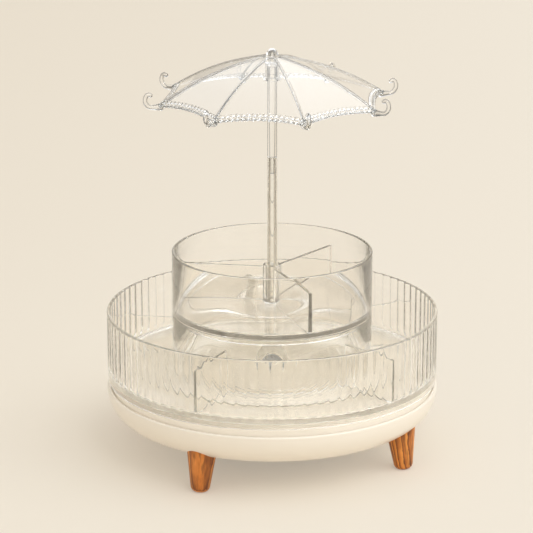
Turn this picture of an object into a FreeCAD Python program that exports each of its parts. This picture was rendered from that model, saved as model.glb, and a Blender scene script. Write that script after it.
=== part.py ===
"""Two-tier turning make-up organiser on four wooden feet, with a clear umbrella on top.

Millimetres. +Z is up, the origin is on the table under the pivot, and -Y is the front.
Angles are measured about +Z from +X. Every size is a cell of the sheet "Sizes", FORMULAS
works the shared heights and radii out from those cells, and each sub-part is bound to both.
"""
import FreeCAD, Part
import math
import os
import re

import Sketcher
from FreeCAD import Placement, Rotation, Vector

SIZES = {
    # four turned wooden feet
    "foot_inset": 13.2,             # of the tips, from the edge of the shell
    "first_foot_angle": -118.2,     # front left foot
    "foot_splay": 6,                # outward lean, degrees
    "foot_tip_radius": 6.1,
    "foot_top_radius": 10.6,
    "foot_into_shell": 20,          # length of the blank above the shell's bottom, before coping
    "foot_tip_round": 4.6,
    "foot_tip_worn": 0.3,           # taken off the leaning tip, so that it stands flat
    # saucer-shaped base shell
    "shell_lip": 0.5,               # beyond the tray
    "shell_wall": 2.5,
    "shell_bottom_height": 16,      # above the table
    "shell_depth": 33.2,
    "shell_rim_round": 1.2,
    "shoulder_radius": 22,
    "shoulder_drop": 2.2,           # of the shoulder's top, below the rim
    "saucer_slope": 16,             # degrees
    "saucer_blend_radius": 60,
    # fixings of the feet
    "foot_screw_radius": 1.7,
    "foot_screw_length": 19,
    "foot_screw_head_radius": 3.8,
    "foot_screw_head": 2.4,
    "foot_pad_radius": 6.5,
    "foot_pad_rise": 17,            # above the shell's bottom, along the foot's own axis
    "foot_pad_depth": 19,
    "screw_hole_clearance": 0.15,
    # base cover, which carries the pivot and the lower ball track
    "cover_gap": 0.4,
    "cover_rim_rise": 2.5,          # above the deck
    "cover_rim_wall": 2.4,
    "cover_skirt": 5.2,             # below the rim of the shell
    "deck_rise": 2.4,               # above the rim of the shell
    "deck_wall": 2.5,
    "cover_screw_circle": 60,
    "cover_screw_radius": 1.5,
    "cover_screw_length": 14,
    "cover_screw_head_radius": 3.4,
    "cover_screw_head": 2.2,
    "cover_screw_recess": 6,
    "column_radius": 6,
    "column_height": 10,
    "cover_post_radius": 4.5,
    # ball bearing and pivot
    "ball_radius": 2.5,
    "ball_count": 20,
    "ball_play": 0.1,
    "track_radius": 70,
    "cage_width": 10,
    "cage_wall": 1.5,
    "pocket_play": 0.2,
    "bush_radius": 4,
    "bush_running_gap": 0.08,
    "bush_end_play": 0.2,
    "pivot_screw_radius": 2,
    "pivot_screw_length": 18,
    "pivot_screw_head_radius": 4.2,
    "pivot_screw_head": 2,
    "pivot_boss_radius": 6.5,
    "pivot_boss_depth": 11,
    "washer_radius": 9,
    "washer_wall": 1,
    # turntable plate and lower tray
    "turntable_gap": 0.5,           # above the rim of the cover
    "turntable_wall": 3.4,
    "turntable_fit": 0.3,
    "tray_radius": 120,
    "tray_wall": 2.7,
    "tray_depth": 43.7,
    "tray_rim_round": 0.8,
    "tray_floor": 3.3,
    "tray_floor_hole": 12,
    "tray_corner_round": 2,
    "step_gap": 7.5,                # from the riser
    "step_width": 14,
    "step_height": 1,
    "flute_pitch": 8.4,
    "flute_radius": 14,
    "flute_depth": 0.5,
    "flute_foot_rise": 4.7,         # above the floor
    "flute_rim_land": 1.2,
    "flute_clearance": 0.1,         # of the cutter, outside the wall
    "fin_count": 5,
    "first_fin_angle": -116.7,
    "fin_top_wall": 1.5,
    "fin_foot_wall": 2.6,
    "fin_height": 32.7,
    "fin_hump": 1.6,                # above the fin
    "fin_step": 1,                  # below the fin, beyond the hump
    "fin_hump_inset": 10.8,         # from the wall
    "fin_hump_run": 5.5,            # on each side
    # riser and upper tray
    "riser_radius": 72.5,
    "riser_wall": 2.5,
    "riser_height": 41.9,
    "locating_gap": 0.3,
    "locating_wall": 2.2,
    "locating_ring_height": 2.5,
    "upper_wall": 2.3,
    "upper_floor": 3.3,
    "upper_depth": 42.2,
    "upper_corner_round": 2,
    "upper_lip_depth": 4,
    "socket_wall": 3,
    "socket_height": 31.5,          # above the floor of the upper tray
    "divider_count": 3,
    "first_divider_angle": -68.1,
    "divider_top_wall": 2.2,
    "divider_foot_wall": 3,
    "divider_height": 29.7,         # above the floor of the upper tray
    # two-piece pole
    "pole_radius": 3.5,
    "pole_bore": 2.1,
    "pole_slide_gap": 0.1,
    "pole_lower_length": 111.1,
    "pole_upper_length": 65.4,
    "spigot_length": 12,
    "spigot_gap": 0.1,
    # umbrella
    "hub_radius": 5,
    "hub_running_gap": 0.08,
    "hub_grip": 9.6,                # length over the pole
    "hub_cap": 2.3,                 # above the pole
    "hub_collar_radius": 6.2,
    "hub_collar": 2.5,
    "stud_radius": 2,
    "stud_reach": 3.2,              # into the finial
    "stud_gap": 0.1,
    "crown_radius": 5.6,
    "crown_height": 5.7,
    "gore_count": 8,
    "first_tip_angle": -74.5,
    "canopy_tip_radius": 82.5,
    "canopy_rise": 0.5,             # of the panels' own top, above the crown
    "canopy_drop": 31.5,
    "canopy_arc_radius": 175,       # of the gore, square to its edge
    "canopy_wall": 1.6,
    "scallop_depth": 3,
    "rib_wall": 2,
    "rib_rise": 0.9,
    "rope_radius": 1.5,
    "rope_spacing": 3.2,
    "rope_overhang": 0.25,
    "hook_radius": 1.4,
    "hook_root_radius": 2.6,
    "hook_run": 6,
    "hook_bend_radius": 5.3,
    "hook_bend_angle": 125,         # degrees
    "hook_curl_radius": 2,
    "hook_curl_angle": 95,          # degrees, beyond the bend
    "finial_radius": 4.3,
    "finial_neck_radius": 3.2,
    "finial_height": 5.4,
    "finial_dome_radius": 5,
}

FORMULAS = {
    "shell_radius": "tray_radius + shell_lip",
    "shell_rim_height": "shell_bottom_height + shell_depth",
    "shoulder_height": "shell_rim_height - shoulder_drop",
    "foot_circle_radius": "shell_radius - foot_inset",
    "foot_spacing": "360 / 4",
    "foot_blank_length": "shell_bottom_height + foot_into_shell",
    "foot_pad_height": "shell_bottom_height + foot_pad_rise",
    "column_top_height": "shell_bottom_height + column_height",
    "cover_radius": "shell_radius - shell_wall - cover_gap",
    "cover_rim_inner": "cover_radius - cover_rim_wall",
    "cover_skirt_height": "shell_rim_height - cover_skirt",
    "deck_height": "shell_rim_height + deck_rise",
    "deck_bottom": "deck_height - deck_wall",
    "cover_rim_height": "deck_height + cover_rim_rise",
    "turntable_bottom": "cover_rim_height + turntable_gap",
    "turntable_top": "turntable_bottom + turntable_wall",
    "turntable_radius": "tray_inner_radius - turntable_fit",
    "ball_height": "(deck_height + turntable_bottom) / 2",
    "bush_top": "turntable_top + bush_end_play",
    "washer_top": "bush_top + washer_wall",
    "screw_bore": "pivot_screw_radius + screw_hole_clearance",
    "tray_inner_radius": "tray_radius - tray_wall",
    "tray_floor_top": "turntable_top + tray_floor",
    "tray_rim_height": "tray_floor_top + tray_depth",
    "step_inner_radius": "riser_radius + step_gap",
    "step_outer_radius": "step_inner_radius + step_width",
    "flute_count": "round(2 * pi * tray_radius / flute_pitch)",
    "flute_foot_height": "tray_floor_top + flute_foot_rise",
    "flute_axis_radius": "tray_radius - flute_depth + flute_radius",
    "flute_reach": "tray_radius + flute_clearance",
    "flute_half_angle": "acos((flute_axis_radius ^ 2 + flute_radius ^ 2 - flute_reach ^ 2)"
                        " / (2 * flute_axis_radius * flute_radius))",
    "fin_top_height": "tray_floor_top + fin_height",
    "fin_hump_height": "fin_top_height + fin_hump",
    "fin_step_height": "fin_top_height - fin_step",
    "fin_hump_radius": "tray_inner_radius - fin_hump_inset",
    "fin_hollow_radius": "(fin_hump_run ^ 2 + fin_hump ^ 2) / (2 * fin_hump)",
    "fin_crest_radius": "(fin_hump_run ^ 2 + (fin_hump + fin_step) ^ 2) / (2 * (fin_hump + fin_step))",
    "riser_inner_radius": "riser_radius - riser_wall",
    "riser_top": "tray_floor_top + riser_height",
    "ring_outer": "riser_inner_radius - locating_gap",
    "ring_inner": "ring_outer - locating_wall",
    "upper_floor_top": "riser_top + upper_floor",
    "upper_rim_height": "upper_floor_top + upper_depth",
    "upper_inner_radius": "riser_radius - upper_wall",
    "socket_bore": "pole_radius + pole_slide_gap",
    "socket_radius": "socket_bore + socket_wall",
    "socket_top": "upper_floor_top + socket_height",
    "pole_joint_height": "upper_floor_top + pole_lower_length",
    "pole_top_height": "pole_joint_height + pole_upper_length",
    "spigot_radius": "pole_bore - spigot_gap",
    "hub_bottom_height": "pole_top_height - hub_grip",
    "hub_top_height": "pole_top_height + hub_cap",
    "crown_top_height": "hub_top_height + crown_height",
    "stud_top": "crown_top_height + stud_reach",
    "canopy_top_height": "crown_top_height + canopy_rise",
    "canopy_tip_height": "canopy_top_height - canopy_drop",
    "gore_half_angle": "180 / gore_count",
    "gore_edge_radius": "canopy_tip_radius * cos(gore_half_angle)",
    "gore_half_edge": "canopy_tip_radius * sin(gore_half_angle)",
    "gore_chord": "sqrt(gore_edge_radius ^ 2 + canopy_drop ^ 2)",
    "rib_chord": "sqrt(canopy_tip_radius ^ 2 + canopy_drop ^ 2)",
    "rib_arc_radius": "canopy_arc_radius * (rib_chord / gore_chord) ^ 3 * cos(gore_half_angle)",
    "rib_start_slope": "atan(canopy_drop / canopy_tip_radius) - asin(rib_chord / (2 * rib_arc_radius))",
    "gore_edge_slope": "atan(canopy_drop / gore_edge_radius) + asin(gore_chord / (2 * canopy_arc_radius))",
    "scallop_radius": "(gore_half_edge ^ 2 + scallop_depth ^ 2) / (2 * scallop_depth)",
}

DOC = FreeCAD.newDocument("Organiser")
SHEET = DOC.addObject("Spreadsheet::Sheet", "Sizes")
for row, (alias, value) in enumerate(SIZES.items(), start=1):
    SHEET.set(f"A{row}", alias.replace("_", " "))
    SHEET.set(f"B{row}", str(value))
    SHEET.setAlias(f"B{row}", alias)
DOC.recompute()


# ---------------------------------------------------------------- formulas and binding

def formula(text):
    """A formula in plain size names, as an expression that reads the sheet."""
    def reference(match):
        word = match.group(0)
        if word in FORMULAS:
            return f"({formula(FORMULAS[word])})"
        return f"Sizes.{word}" if word in SIZES else word
    return re.sub(r"[a-z_]+", reference, str(text))


def number(text):
    """The present value of a formula."""
    return float(SHEET.evalExpression(formula(text)))


def bind(item, **settings):
    """Bind properties to formulas. In a keyword, __ stands for a dot."""
    for name, text in settings.items():
        item.setExpression(name.replace("__", "."), formula(text))
    return item


# ---------------------------------------------------------------- solids

def cylinder(name, radius, height, base="0", x="0", y="0"):
    """An upright cylinder from the height base."""
    item = DOC.addObject("Part::Cylinder", name)
    return bind(item, Radius=radius, Height=height, Placement__Base__x=x, Placement__Base__y=y,
                Placement__Base__z=base)


def sphere(name, radius, x, y, z):
    """A ball."""
    item = DOC.addObject("Part::Sphere", name)
    return bind(item, Radius=radius, Placement__Base__x=x, Placement__Base__y=y, Placement__Base__z=z)


def torus(name, ring_radius, tube_radius, height):
    """A ring of round section about the pivot axis."""
    item = DOC.addObject("Part::Torus", name)
    return bind(item, Radius1=ring_radius, Radius2=tube_radius, Placement__Base__z=height)


def fused(name, items):
    """One solid from several that meet."""
    item = DOC.addObject("Part::MultiFuse", name)
    item.Shapes = items
    return item


def grouped(name, items, angle="0"):
    """Separate solids kept as one, turned about the pivot axis."""
    item = DOC.addObject("Part::Compound", name)
    item.Links = items
    return bind(item, Placement__Rotation__Angle=angle)


def cut(name, base, tools):
    """The base less every tool."""
    item = DOC.addObject("Part::Cut", name)
    item.Base = base
    item.Tool = tools[0] if len(tools) == 1 else grouped(name + "_tools", tools)
    return item


def common(name, first, second):
    """What two solids share."""
    item = DOC.addObject("Part::Common", name)
    item.Base = first
    item.Tool = second
    return item


def around(name, item, count, first="0"):
    """Copies of an item at equal angles about the pivot axis, one object each."""
    return [grouped(f"{name}_{place + 1}", [item], f"{first} + {place} * 360 / ({count})")
            for place in range(round(number(count)))]


# ---------------------------------------------------------------- sketches and bodies

def origin_feature(body, role):
    """A plane or axis of a body's own origin."""
    return next(item for item in body.Origin.OriginFeatures if item.Role == role)


def side_geometry(start, end, radius):
    """A straight side, or an arc whose centre is on the left (+) or the right (-)."""
    if not radius:
        return Part.LineSegment(start, end), True
    span = end - start
    left = Vector(-span.y, span.x, 0).normalize()
    rise = math.sqrt(max(radius ** 2 - (span.Length / 2) ** 2, 0))
    centre = (start + end) * 0.5 + left * math.copysign(rise, radius)
    forward = radius > 0
    first, last = (start, end) if forward else (end, start)
    turn = [math.atan2(point.y - centre.y, point.x - centre.x) for point in (first, last)]
    circle = Part.Circle(centre, Vector(0, 0, 1), abs(radius))
    return Part.ArcOfCircle(circle, *turn), forward


def outline(body, name, role, corners, lift="0", upright_axis=None):
    """A closed sketch. Each corner is (across, up) or (across, up, radius of the next side)."""
    sketch = body.newObject("Sketcher::SketchObject", name)
    sketch.AttachmentSupport = [(origin_feature(body, role), "")]
    sketch.MapMode = "FlatFace"
    bind(sketch, AttachmentOffset__Base__z=lift)
    places = [Vector(number(corner[0]), number(corner[1]), 0) for corner in corners]
    ends = []
    for side, corner in enumerate(corners):
        radius = number(corner[2]) if len(corner) > 2 else 0
        shape, forward = side_geometry(places[side], places[(side + 1) % len(corners)], radius)
        sketch.addGeometry(shape, False)
        ends.append((1, 2) if forward else (2, 1))
    for side, corner in enumerate(corners):
        last = side - 1 if side else len(corners) - 1
        sketch.addConstraint(Sketcher.Constraint("Coincident", last, ends[last][1], side, ends[side][0]))
        for kind, axis, text, value in (("DistanceX", -2, corner[0], places[side].x),
                                        ("DistanceY", -1, corner[1], places[side].y)):
            if text == "0":
                sketch.addConstraint(Sketcher.Constraint("PointOnObject", side, ends[side][0], axis))
                continue
            index = sketch.addConstraint(Sketcher.Constraint(kind, -1, 1, side, ends[side][0], value))
            sketch.setExpression(f"Constraints[{index}]", formula(text))
        if len(corner) > 2:
            size = abs(number(corner[2]))
            index = sketch.addConstraint(Sketcher.Constraint("Radius", side, size))
            sketch.setExpression(f"Constraints[{index}]", formula(corner[2].lstrip("-")))
    if upright_axis:
        foot, head = Vector(number(upright_axis), 0, 0), Vector(number(upright_axis), 1, 0)
        line = sketch.addGeometry(Part.LineSegment(foot, head), True)
        sketch.addConstraint(Sketcher.Constraint("Vertical", line))
        sketch.addConstraint(Sketcher.Constraint("PointOnObject", line, 1, -1))
        sketch.addConstraint(Sketcher.Constraint("DistanceY", line, 1, line, 2, 1))
        index = sketch.addConstraint(Sketcher.Constraint("DistanceX", -1, 1, line, 1, foot.x))
        sketch.setExpression(f"Constraints[{index}]", formula(upright_axis))
    return sketch


def circle_sketch(body, name, place, radius, lift):
    """A circle on the X axis of a level plane."""
    sketch = body.newObject("Sketcher::SketchObject", name)
    sketch.AttachmentSupport = [(origin_feature(body, "XY_Plane"), "")]
    sketch.MapMode = "FlatFace"
    bind(sketch, AttachmentOffset__Base__z=lift)
    sketch.addGeometry(Part.Circle(Vector(number(place), 0, 0), Vector(0, 0, 1), number(radius)), False)
    sketch.addConstraint(Sketcher.Constraint("PointOnObject", 0, 3, -1))
    index = sketch.addConstraint(Sketcher.Constraint("DistanceX", -1, 1, 0, 3, number(place)))
    sketch.setExpression(f"Constraints[{index}]", formula(place))
    index = sketch.addConstraint(Sketcher.Constraint("Radius", 0, number(radius)))
    sketch.setExpression(f"Constraints[{index}]", formula(radius))
    return sketch


def backwards(corners):
    """The same open run of corners, walked the other way."""
    radii = [corner[2] if len(corner) > 2 else None for corner in corners[:-1]]
    turned_radii = [None if text is None else text.lstrip("-") if text.startswith("-") else "-" + text
                    for text in reversed(radii)] + [None]
    return [(corner[0], corner[1]) + ((text,) if text else ())
            for corner, text in zip(reversed(corners), turned_radii)]


def turned(name, corners):
    """A body turned about its own Z axis from an outline of (radius, height)."""
    body = DOC.addObject("PartDesign::Body", name)
    sketch = outline(body, name + "_outline", "XZ_Plane", corners)
    shape = body.newObject("PartDesign::Revolution", name + "_turning")
    shape.Profile = sketch
    shape.ReferenceAxis = (sketch, ["V_Axis"])
    shape.Angle = 360
    sketch.Visibility = False
    body.Tip = shape
    return body


def prism(name, role, corners, length, lift="0", midplane=False):
    """A body padded from one outline."""
    body = DOC.addObject("PartDesign::Body", name)
    pad(body, name, role, corners, length, lift, midplane)
    return body


def pad(body, name, role, corners, length, lift="0", midplane=False):
    """A pad in a body."""
    shape = body.newObject("PartDesign::Pad", name + "_pad")
    shape.Profile = outline(body, name + "_outline", role, corners, lift)
    shape.Midplane = midplane
    bind(shape, Length=length)
    body.Tip = shape
    return shape


def patterned(body, name, originals, count):
    """Features of a body repeated about its Z axis."""
    DOC.recompute()
    shape = body.newObject("PartDesign::PolarPattern", name)
    shape.Originals = originals
    shape.Axis = (origin_feature(body, "Z_Axis"), [""])
    shape.Angle = 360
    bind(shape, Occurrences=count)
    body.Tip = shape
    return shape


# ---------------------------------------------------------------- base shell and feet

def saucer_side(inset):
    """Corners of the saucer from its centre to its rim, set in by a wall."""
    radius = f"(shoulder_radius - {inset})"
    blend = f"(saucer_blend_radius - {inset})"
    reach = f"{blend} * tan(saucer_slope / 2)"
    floor = f"(shell_bottom_height + {inset})"
    shoulder_r = f"(shell_radius - shoulder_radius + {radius} * sin(saucer_slope))"
    shoulder_z = f"(shoulder_height - {radius} * cos(saucer_slope))"
    crease = f"({shoulder_r} - ({shoulder_z} - {floor}) / tan(saucer_slope))"
    return [("0", floor),
            (f"{crease} - {reach}", floor, blend),
            (f"{crease} + {reach} * cos(saucer_slope)", f"{floor} + {reach} * sin(saucer_slope)"),
            (shoulder_r, shoulder_z, radius),
            (f"shell_radius - {inset}", "shoulder_height")]


def leaned(item):
    """Stand an item on the foot circle at angle 0, leaning like a foot."""
    item.Placement = Placement(Vector(), Rotation(Vector(0, -1, 0), number("foot_splay")))
    return bind(item, Placement__Base__x="foot_circle_radius", Placement__Rotation__Angle="foot_splay")


def along_foot(name, radius, start, length):
    """A cylinder on a foot's axis, from a distance above its tip."""
    stick = turned(name, [("0", start), (radius, start), (radius, f"{start} + {length}"),
                          ("0", f"{start} + {length}")])
    return leaned(stick)


def feet_and_shell():
    """The saucer, its four coped feet and the screws between them."""
    block = turned("saucer_block", saucer_side("0") + [("shell_radius", "shell_rim_height"),
                                                      ("0", "shell_rim_height")])
    rim = [("shell_radius", "shell_rim_height - shell_rim_round", "shell_rim_round"),
           ("shell_radius - shell_rim_round", "shell_rim_height"),
           ("shell_radius - shell_wall", "shell_rim_height")]
    bowl = turned("saucer_bowl", saucer_side("0") + rim + backwards(saucer_side("shell_wall")))

    pad_block = along_foot("foot_pad_block", "foot_pad_radius", "foot_pad_height - foot_pad_depth",
                           "foot_pad_depth")
    foot_pad = common("foot_pad", pad_block, block)
    hole = along_foot("foot_hole", "foot_screw_radius + screw_hole_clearance",
                      "foot_pad_height - foot_pad_depth - 1", "foot_pad_depth + 2")
    turning = [("0", "-foot_tip_worn"),
               ("foot_tip_radius - foot_tip_round", "-foot_tip_worn", "foot_tip_round"),
               ("foot_tip_radius", "foot_tip_round - foot_tip_worn"),
               ("foot_top_radius", "foot_blank_length"), ("0", "foot_blank_length")]
    blank = leaned(turned("foot_blank", turning))
    pilot = along_foot("foot_pilot", "foot_screw_radius + screw_hole_clearance / 3",
                       "foot_pad_height - foot_screw_length - 1", "foot_screw_length + 10")
    head = along_foot("foot_screw_head_blank", "foot_screw_head_radius", "foot_pad_height",
                      "foot_screw_head")
    shank = along_foot("foot_screw_shank", "foot_screw_radius", "foot_pad_height - foot_screw_length",
                       "foot_screw_length + 0.5")
    screw = fused("foot_screw", [head, shank])
    below_table = cylinder("below_table", "shell_radius", "foot_tip_round", "-foot_tip_round")
    foot_tools = grouped("foot_tools", [block, pilot, below_table])
    for place, label in enumerate(("front_left", "front_right", "back_right", "back_left")):
        foot = DOC.addObject("Part::Cut", "foot_" + label)
        foot.Base = blank
        foot.Tool = foot_tools
        bind(foot, Placement__Rotation__Angle=f"first_foot_angle + {place} * foot_spacing")
        deliver(foot, "foot_" + label)
    deliver(grouped("foot_screws", around("foot_screw", screw, "4", "first_foot_angle")), "foot_screws")

    columns, bores = [], []
    for place, (x, y) in enumerate(cover_screw_places()):
        columns.append(cylinder(f"column_{place + 1}", "column_radius",
                                "column_top_height - shell_bottom_height", "shell_bottom_height", x, y))
        bores.append(cylinder(f"column_bore_{place + 1}", "cover_screw_radius + screw_hole_clearance",
                              "column_top_height", "1", x, y))
        bores.append(cylinder(f"column_recess_{place + 1}",
                              "cover_screw_head_radius + screw_hole_clearance",
                              "cover_screw_recess + 1", "shell_bottom_height - 1", x, y))
    pads = around("foot_pad", foot_pad, "4", "first_foot_angle")
    holes = around("foot_hole", hole, "4", "first_foot_angle")
    shell = cut("base_shell", fused("shell_body", [bowl] + pads + columns), holes + bores)
    deliver(shell, "base_shell")


def cover_screw_places():
    """Where the four cover screws stand, as formulas of x and y."""
    return [(f"cover_screw_circle * cos({angle})", f"cover_screw_circle * sin({angle})")
            for angle in (45, 135, 225, 315)]


# ---------------------------------------------------------------- cover, bearing and pivot

def base_cover():
    """The plate that closes the saucer, with the lower ball track and the pivot boss."""
    boss_foot = "deck_height - pivot_boss_depth"
    plate = turned("cover_plate", [
        ("screw_bore", boss_foot), ("pivot_boss_radius", boss_foot),
        ("pivot_boss_radius", "deck_bottom"), ("cover_rim_inner", "deck_bottom"),
        ("cover_rim_inner", "cover_skirt_height"), ("cover_radius", "cover_skirt_height"),
        ("cover_radius", "cover_rim_height"), ("cover_rim_inner", "cover_rim_height"),
        ("cover_rim_inner", "deck_height"), ("screw_bore", "deck_height")])
    posts, bores, screws = [], [], []
    for place, (x, y) in enumerate(cover_screw_places()):
        tag = str(place + 1)
        posts.append(cylinder("cover_post_" + tag, "cover_post_radius",
                              "deck_height - deck_wall / 2 - column_top_height", "column_top_height", x, y))
        bores.append(cylinder("post_bore_" + tag, "cover_screw_radius + screw_hole_clearance / 3",
                              "cover_screw_length + 1", "column_top_height - 0.5", x, y))
        seat = "shell_bottom_height + cover_screw_recess"
        head = cylinder("cover_screw_head_" + tag, "cover_screw_head_radius", "cover_screw_head",
                        seat + " - cover_screw_head", x, y)
        shank = cylinder("cover_screw_shank_" + tag, "cover_screw_radius", "cover_screw_length + 0.5",
                         seat + " - 0.5", x, y)
        screws.append(fused("cover_screw_" + tag, [head, shank]))
    track = torus("lower_track", "track_radius", "ball_radius + ball_play", "ball_height")
    deliver(cut("base_cover", fused("cover_body", [plate] + posts), bores + [track]), "base_cover")
    deliver(grouped("cover_screws", screws), "cover_screws")


def bearing():
    """The ball ring: a flat cage with a pocket for each steel ball."""
    half = "cage_width / 2"
    low, high = "ball_height - cage_wall / 2", "ball_height + cage_wall / 2"
    body = turned("ball_cage", [(f"track_radius - {half}", low), (f"track_radius + {half}", low),
                                (f"track_radius + {half}", high), (f"track_radius - {half}", high)])
    pocket = body.newObject("PartDesign::Pocket", "pocket")
    pocket.Profile = circle_sketch(body, "pocket_circle", "track_radius", "ball_radius + pocket_play", high)
    bind(pocket, Length="cage_wall")
    body.Tip = pocket
    patterned(body, "pockets", [pocket], "ball_count")
    deliver(body, "ball_cage")

    ball = sphere("ball", "ball_radius", "track_radius", "0", "ball_height")
    deliver(grouped("bearing_balls", around("ball", ball, "ball_count")), "bearing_balls")


def pivot():
    """The sleeve that the turntable runs on, and the washer and screw that keep it down."""
    deliver(ring("pivot_bush", "screw_bore", "bush_radius", "deck_height", "bush_top"), "pivot_bush")
    deliver(ring("pivot_washer", "screw_bore", "washer_radius", "bush_top", "washer_top"), "pivot_washer")
    head_top = "washer_top + pivot_screw_head"
    foot = "washer_top - pivot_screw_length"
    screw = turned("pivot_screw", [
        ("0", foot), ("pivot_screw_radius", foot), ("pivot_screw_radius", "washer_top"),
        ("pivot_screw_head_radius", "washer_top"),
        ("pivot_screw_head_radius", f"{head_top} - pivot_screw_head / 2", "pivot_screw_head / 2"),
        (f"pivot_screw_head_radius - pivot_screw_head / 2", head_top), ("0", head_top)])
    deliver(screw, "pivot_screw")


def ring(name, inner, outer, low, high):
    """A plain sleeve, washer or tube."""
    return turned(name, [(inner, low), (outer, low), (outer, high), (inner, high)])


def turntable():
    """The plate under the lower tray, with the upper ball track."""
    plate = ring("turntable_blank", "bush_radius + bush_running_gap", "turntable_radius",
                 "turntable_bottom", "turntable_top")
    track = torus("upper_track", "track_radius", "ball_radius + ball_play", "ball_height")
    deliver(cut("turntable_plate", plate, [track]), "turntable_plate")


# ---------------------------------------------------------------- trays and riser

def lower_tray():
    """The wide clear tray: fluted wall, five drafted fins and the ring that locates the riser."""
    body = turned("lower_tray", [
        ("tray_floor_hole", "turntable_top"), ("tray_inner_radius", "turntable_top"),
        ("tray_inner_radius", "turntable_bottom"), ("tray_radius", "turntable_bottom"),
        ("tray_radius", "tray_rim_height - tray_rim_round", "tray_rim_round"),
        ("tray_radius - tray_rim_round", "tray_rim_height"),
        ("tray_inner_radius", "tray_rim_height"),
        ("tray_inner_radius", "tray_floor_top + tray_corner_round", "-tray_corner_round"),
        ("tray_inner_radius - tray_corner_round", "tray_floor_top"),
        ("step_outer_radius", "tray_floor_top"), ("step_outer_radius", "tray_floor_top + step_height"),
        ("step_inner_radius", "tray_floor_top + step_height"), ("step_inner_radius", "tray_floor_top"),
        ("ring_outer", "tray_floor_top"), ("ring_outer", "tray_floor_top + locating_ring_height"),
        ("ring_inner", "tray_floor_top + locating_ring_height"), ("ring_inner", "tray_floor_top"),
        ("tray_floor_hole", "tray_floor_top")])
    start = "riser_radius + locating_gap"
    fin = wedge_plate(body, "fin", start, "tray_inner_radius + tray_wall / 4", "tray_floor_top",
                      "fin_hump_height + 1", "fin_foot_wall", "fin_top_wall")
    top = body.newObject("PartDesign::Pocket", "fin_top")
    beyond = "fin_hump_height + 2"
    top.Profile = outline(body, "fin_top_outline", "XZ_Plane", [
        (f"{start} - 2", "fin_top_height"),
        ("fin_hump_radius - fin_hump_run", "fin_top_height", "fin_hollow_radius"),
        ("fin_hump_radius", "fin_hump_height", "-fin_crest_radius"),
        ("fin_hump_radius + fin_hump_run", "fin_step_height"), ("tray_inner_radius", "fin_step_height"),
        ("tray_inner_radius", beyond), (f"{start} - 2", beyond)])
    top.Midplane = True
    bind(top, Length="4 * fin_foot_wall")
    patterned(body, "fins", [fin, top], "fin_count")

    flute(body)
    patterned(body, "flutes", [body.Tip], "flute_count")
    bind(body, Placement__Rotation__Angle="first_fin_angle")
    deliver(body, "lower_tray")


def flute(body):
    """One shallow flute in the outside of the tray at angle 0, round at its foot."""
    run_out = "sqrt(flute_radius ^ 2 - (flute_radius - flute_depth - flute_clearance) ^ 2)"
    top_end = "tray_rim_height - flute_rim_land"
    groove = body.newObject("PartDesign::Groove", "flute")
    sketch = outline(body, "flute_outline", "XZ_Plane", [
        ("flute_reach", f"flute_foot_height - {run_out}", "-flute_radius"),
        ("tray_radius - flute_depth", "flute_foot_height"), ("tray_radius - flute_depth", top_end),
        ("flute_reach", top_end)], upright_axis="flute_axis_radius")
    groove.Profile = sketch
    groove.ReferenceAxis = (sketch, ["Axis0"])
    groove.Midplane = True
    bind(groove, Angle="2 * flute_half_angle")
    body.Tip = groove


def wedge_plate(body, name, start, end, floor, top, foot_wall, top_wall):
    """A drafted upright plate along the radius, thinner at its top."""
    half_foot, half_top = f"({foot_wall}) / 2", f"({top_wall}) / 2"
    foot = f"{floor} - 0.5"
    corners = [(f"-{half_foot}", foot), (half_foot, foot), (half_top, top), (f"-{half_top}", top)]
    return pad(body, name, "YZ_Plane", corners, f"({end}) - ({start})", start)


def riser():
    """The clear drum that lifts the upper tray."""
    deliver(ring("riser_drum", "riser_inner_radius", "riser_radius", "tray_floor_top", "riser_top"),
            "riser_drum")


def upper_tray():
    """The clear cup on the riser: locating lip, three dividers and the socket of the pole."""
    lip = "riser_top - upper_lip_depth"
    body = turned("upper_tray", [
        ("0", "riser_top"), ("ring_inner", "riser_top"), ("ring_inner", lip), ("ring_outer", lip),
        ("ring_outer", "riser_top"), ("riser_radius", "riser_top"),
        ("riser_radius", "upper_rim_height - tray_rim_round", "tray_rim_round"),
        ("riser_radius - tray_rim_round", "upper_rim_height"), ("upper_inner_radius", "upper_rim_height"),
        ("upper_inner_radius", "upper_floor_top + upper_corner_round", "-upper_corner_round"),
        ("upper_inner_radius - upper_corner_round", "upper_floor_top"),
        ("socket_radius", "upper_floor_top"), ("socket_radius", "socket_top"),
        ("socket_bore", "socket_top"), ("socket_bore", "upper_floor_top"), ("0", "upper_floor_top")])
    divider = wedge_plate(body, "divider", "socket_radius - socket_wall / 2",
                          "upper_inner_radius + upper_wall / 4", "upper_floor_top",
                          "upper_floor_top + divider_height", "divider_foot_wall", "divider_top_wall")
    patterned(body, "dividers", [divider], "divider_count")
    bind(body, Placement__Rotation__Angle="first_divider_angle")
    deliver(body, "upper_tray")


# ---------------------------------------------------------------- pole and umbrella

def pole():
    """The pole: a tube that stands in the socket and a second one plugged into it."""
    deliver(ring("pole_lower", "pole_bore", "pole_radius", "upper_floor_top", "pole_joint_height"),
            "pole_lower")
    spigot_end = "pole_joint_height - spigot_length"
    upper = turned("pole_upper", [
        ("0", spigot_end), ("spigot_radius", spigot_end), ("spigot_radius", "pole_joint_height"),
        ("pole_radius", "pole_joint_height"), ("pole_radius", "pole_top_height"),
        ("0", "pole_top_height")])
    deliver(upper, "pole_upper")


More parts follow.
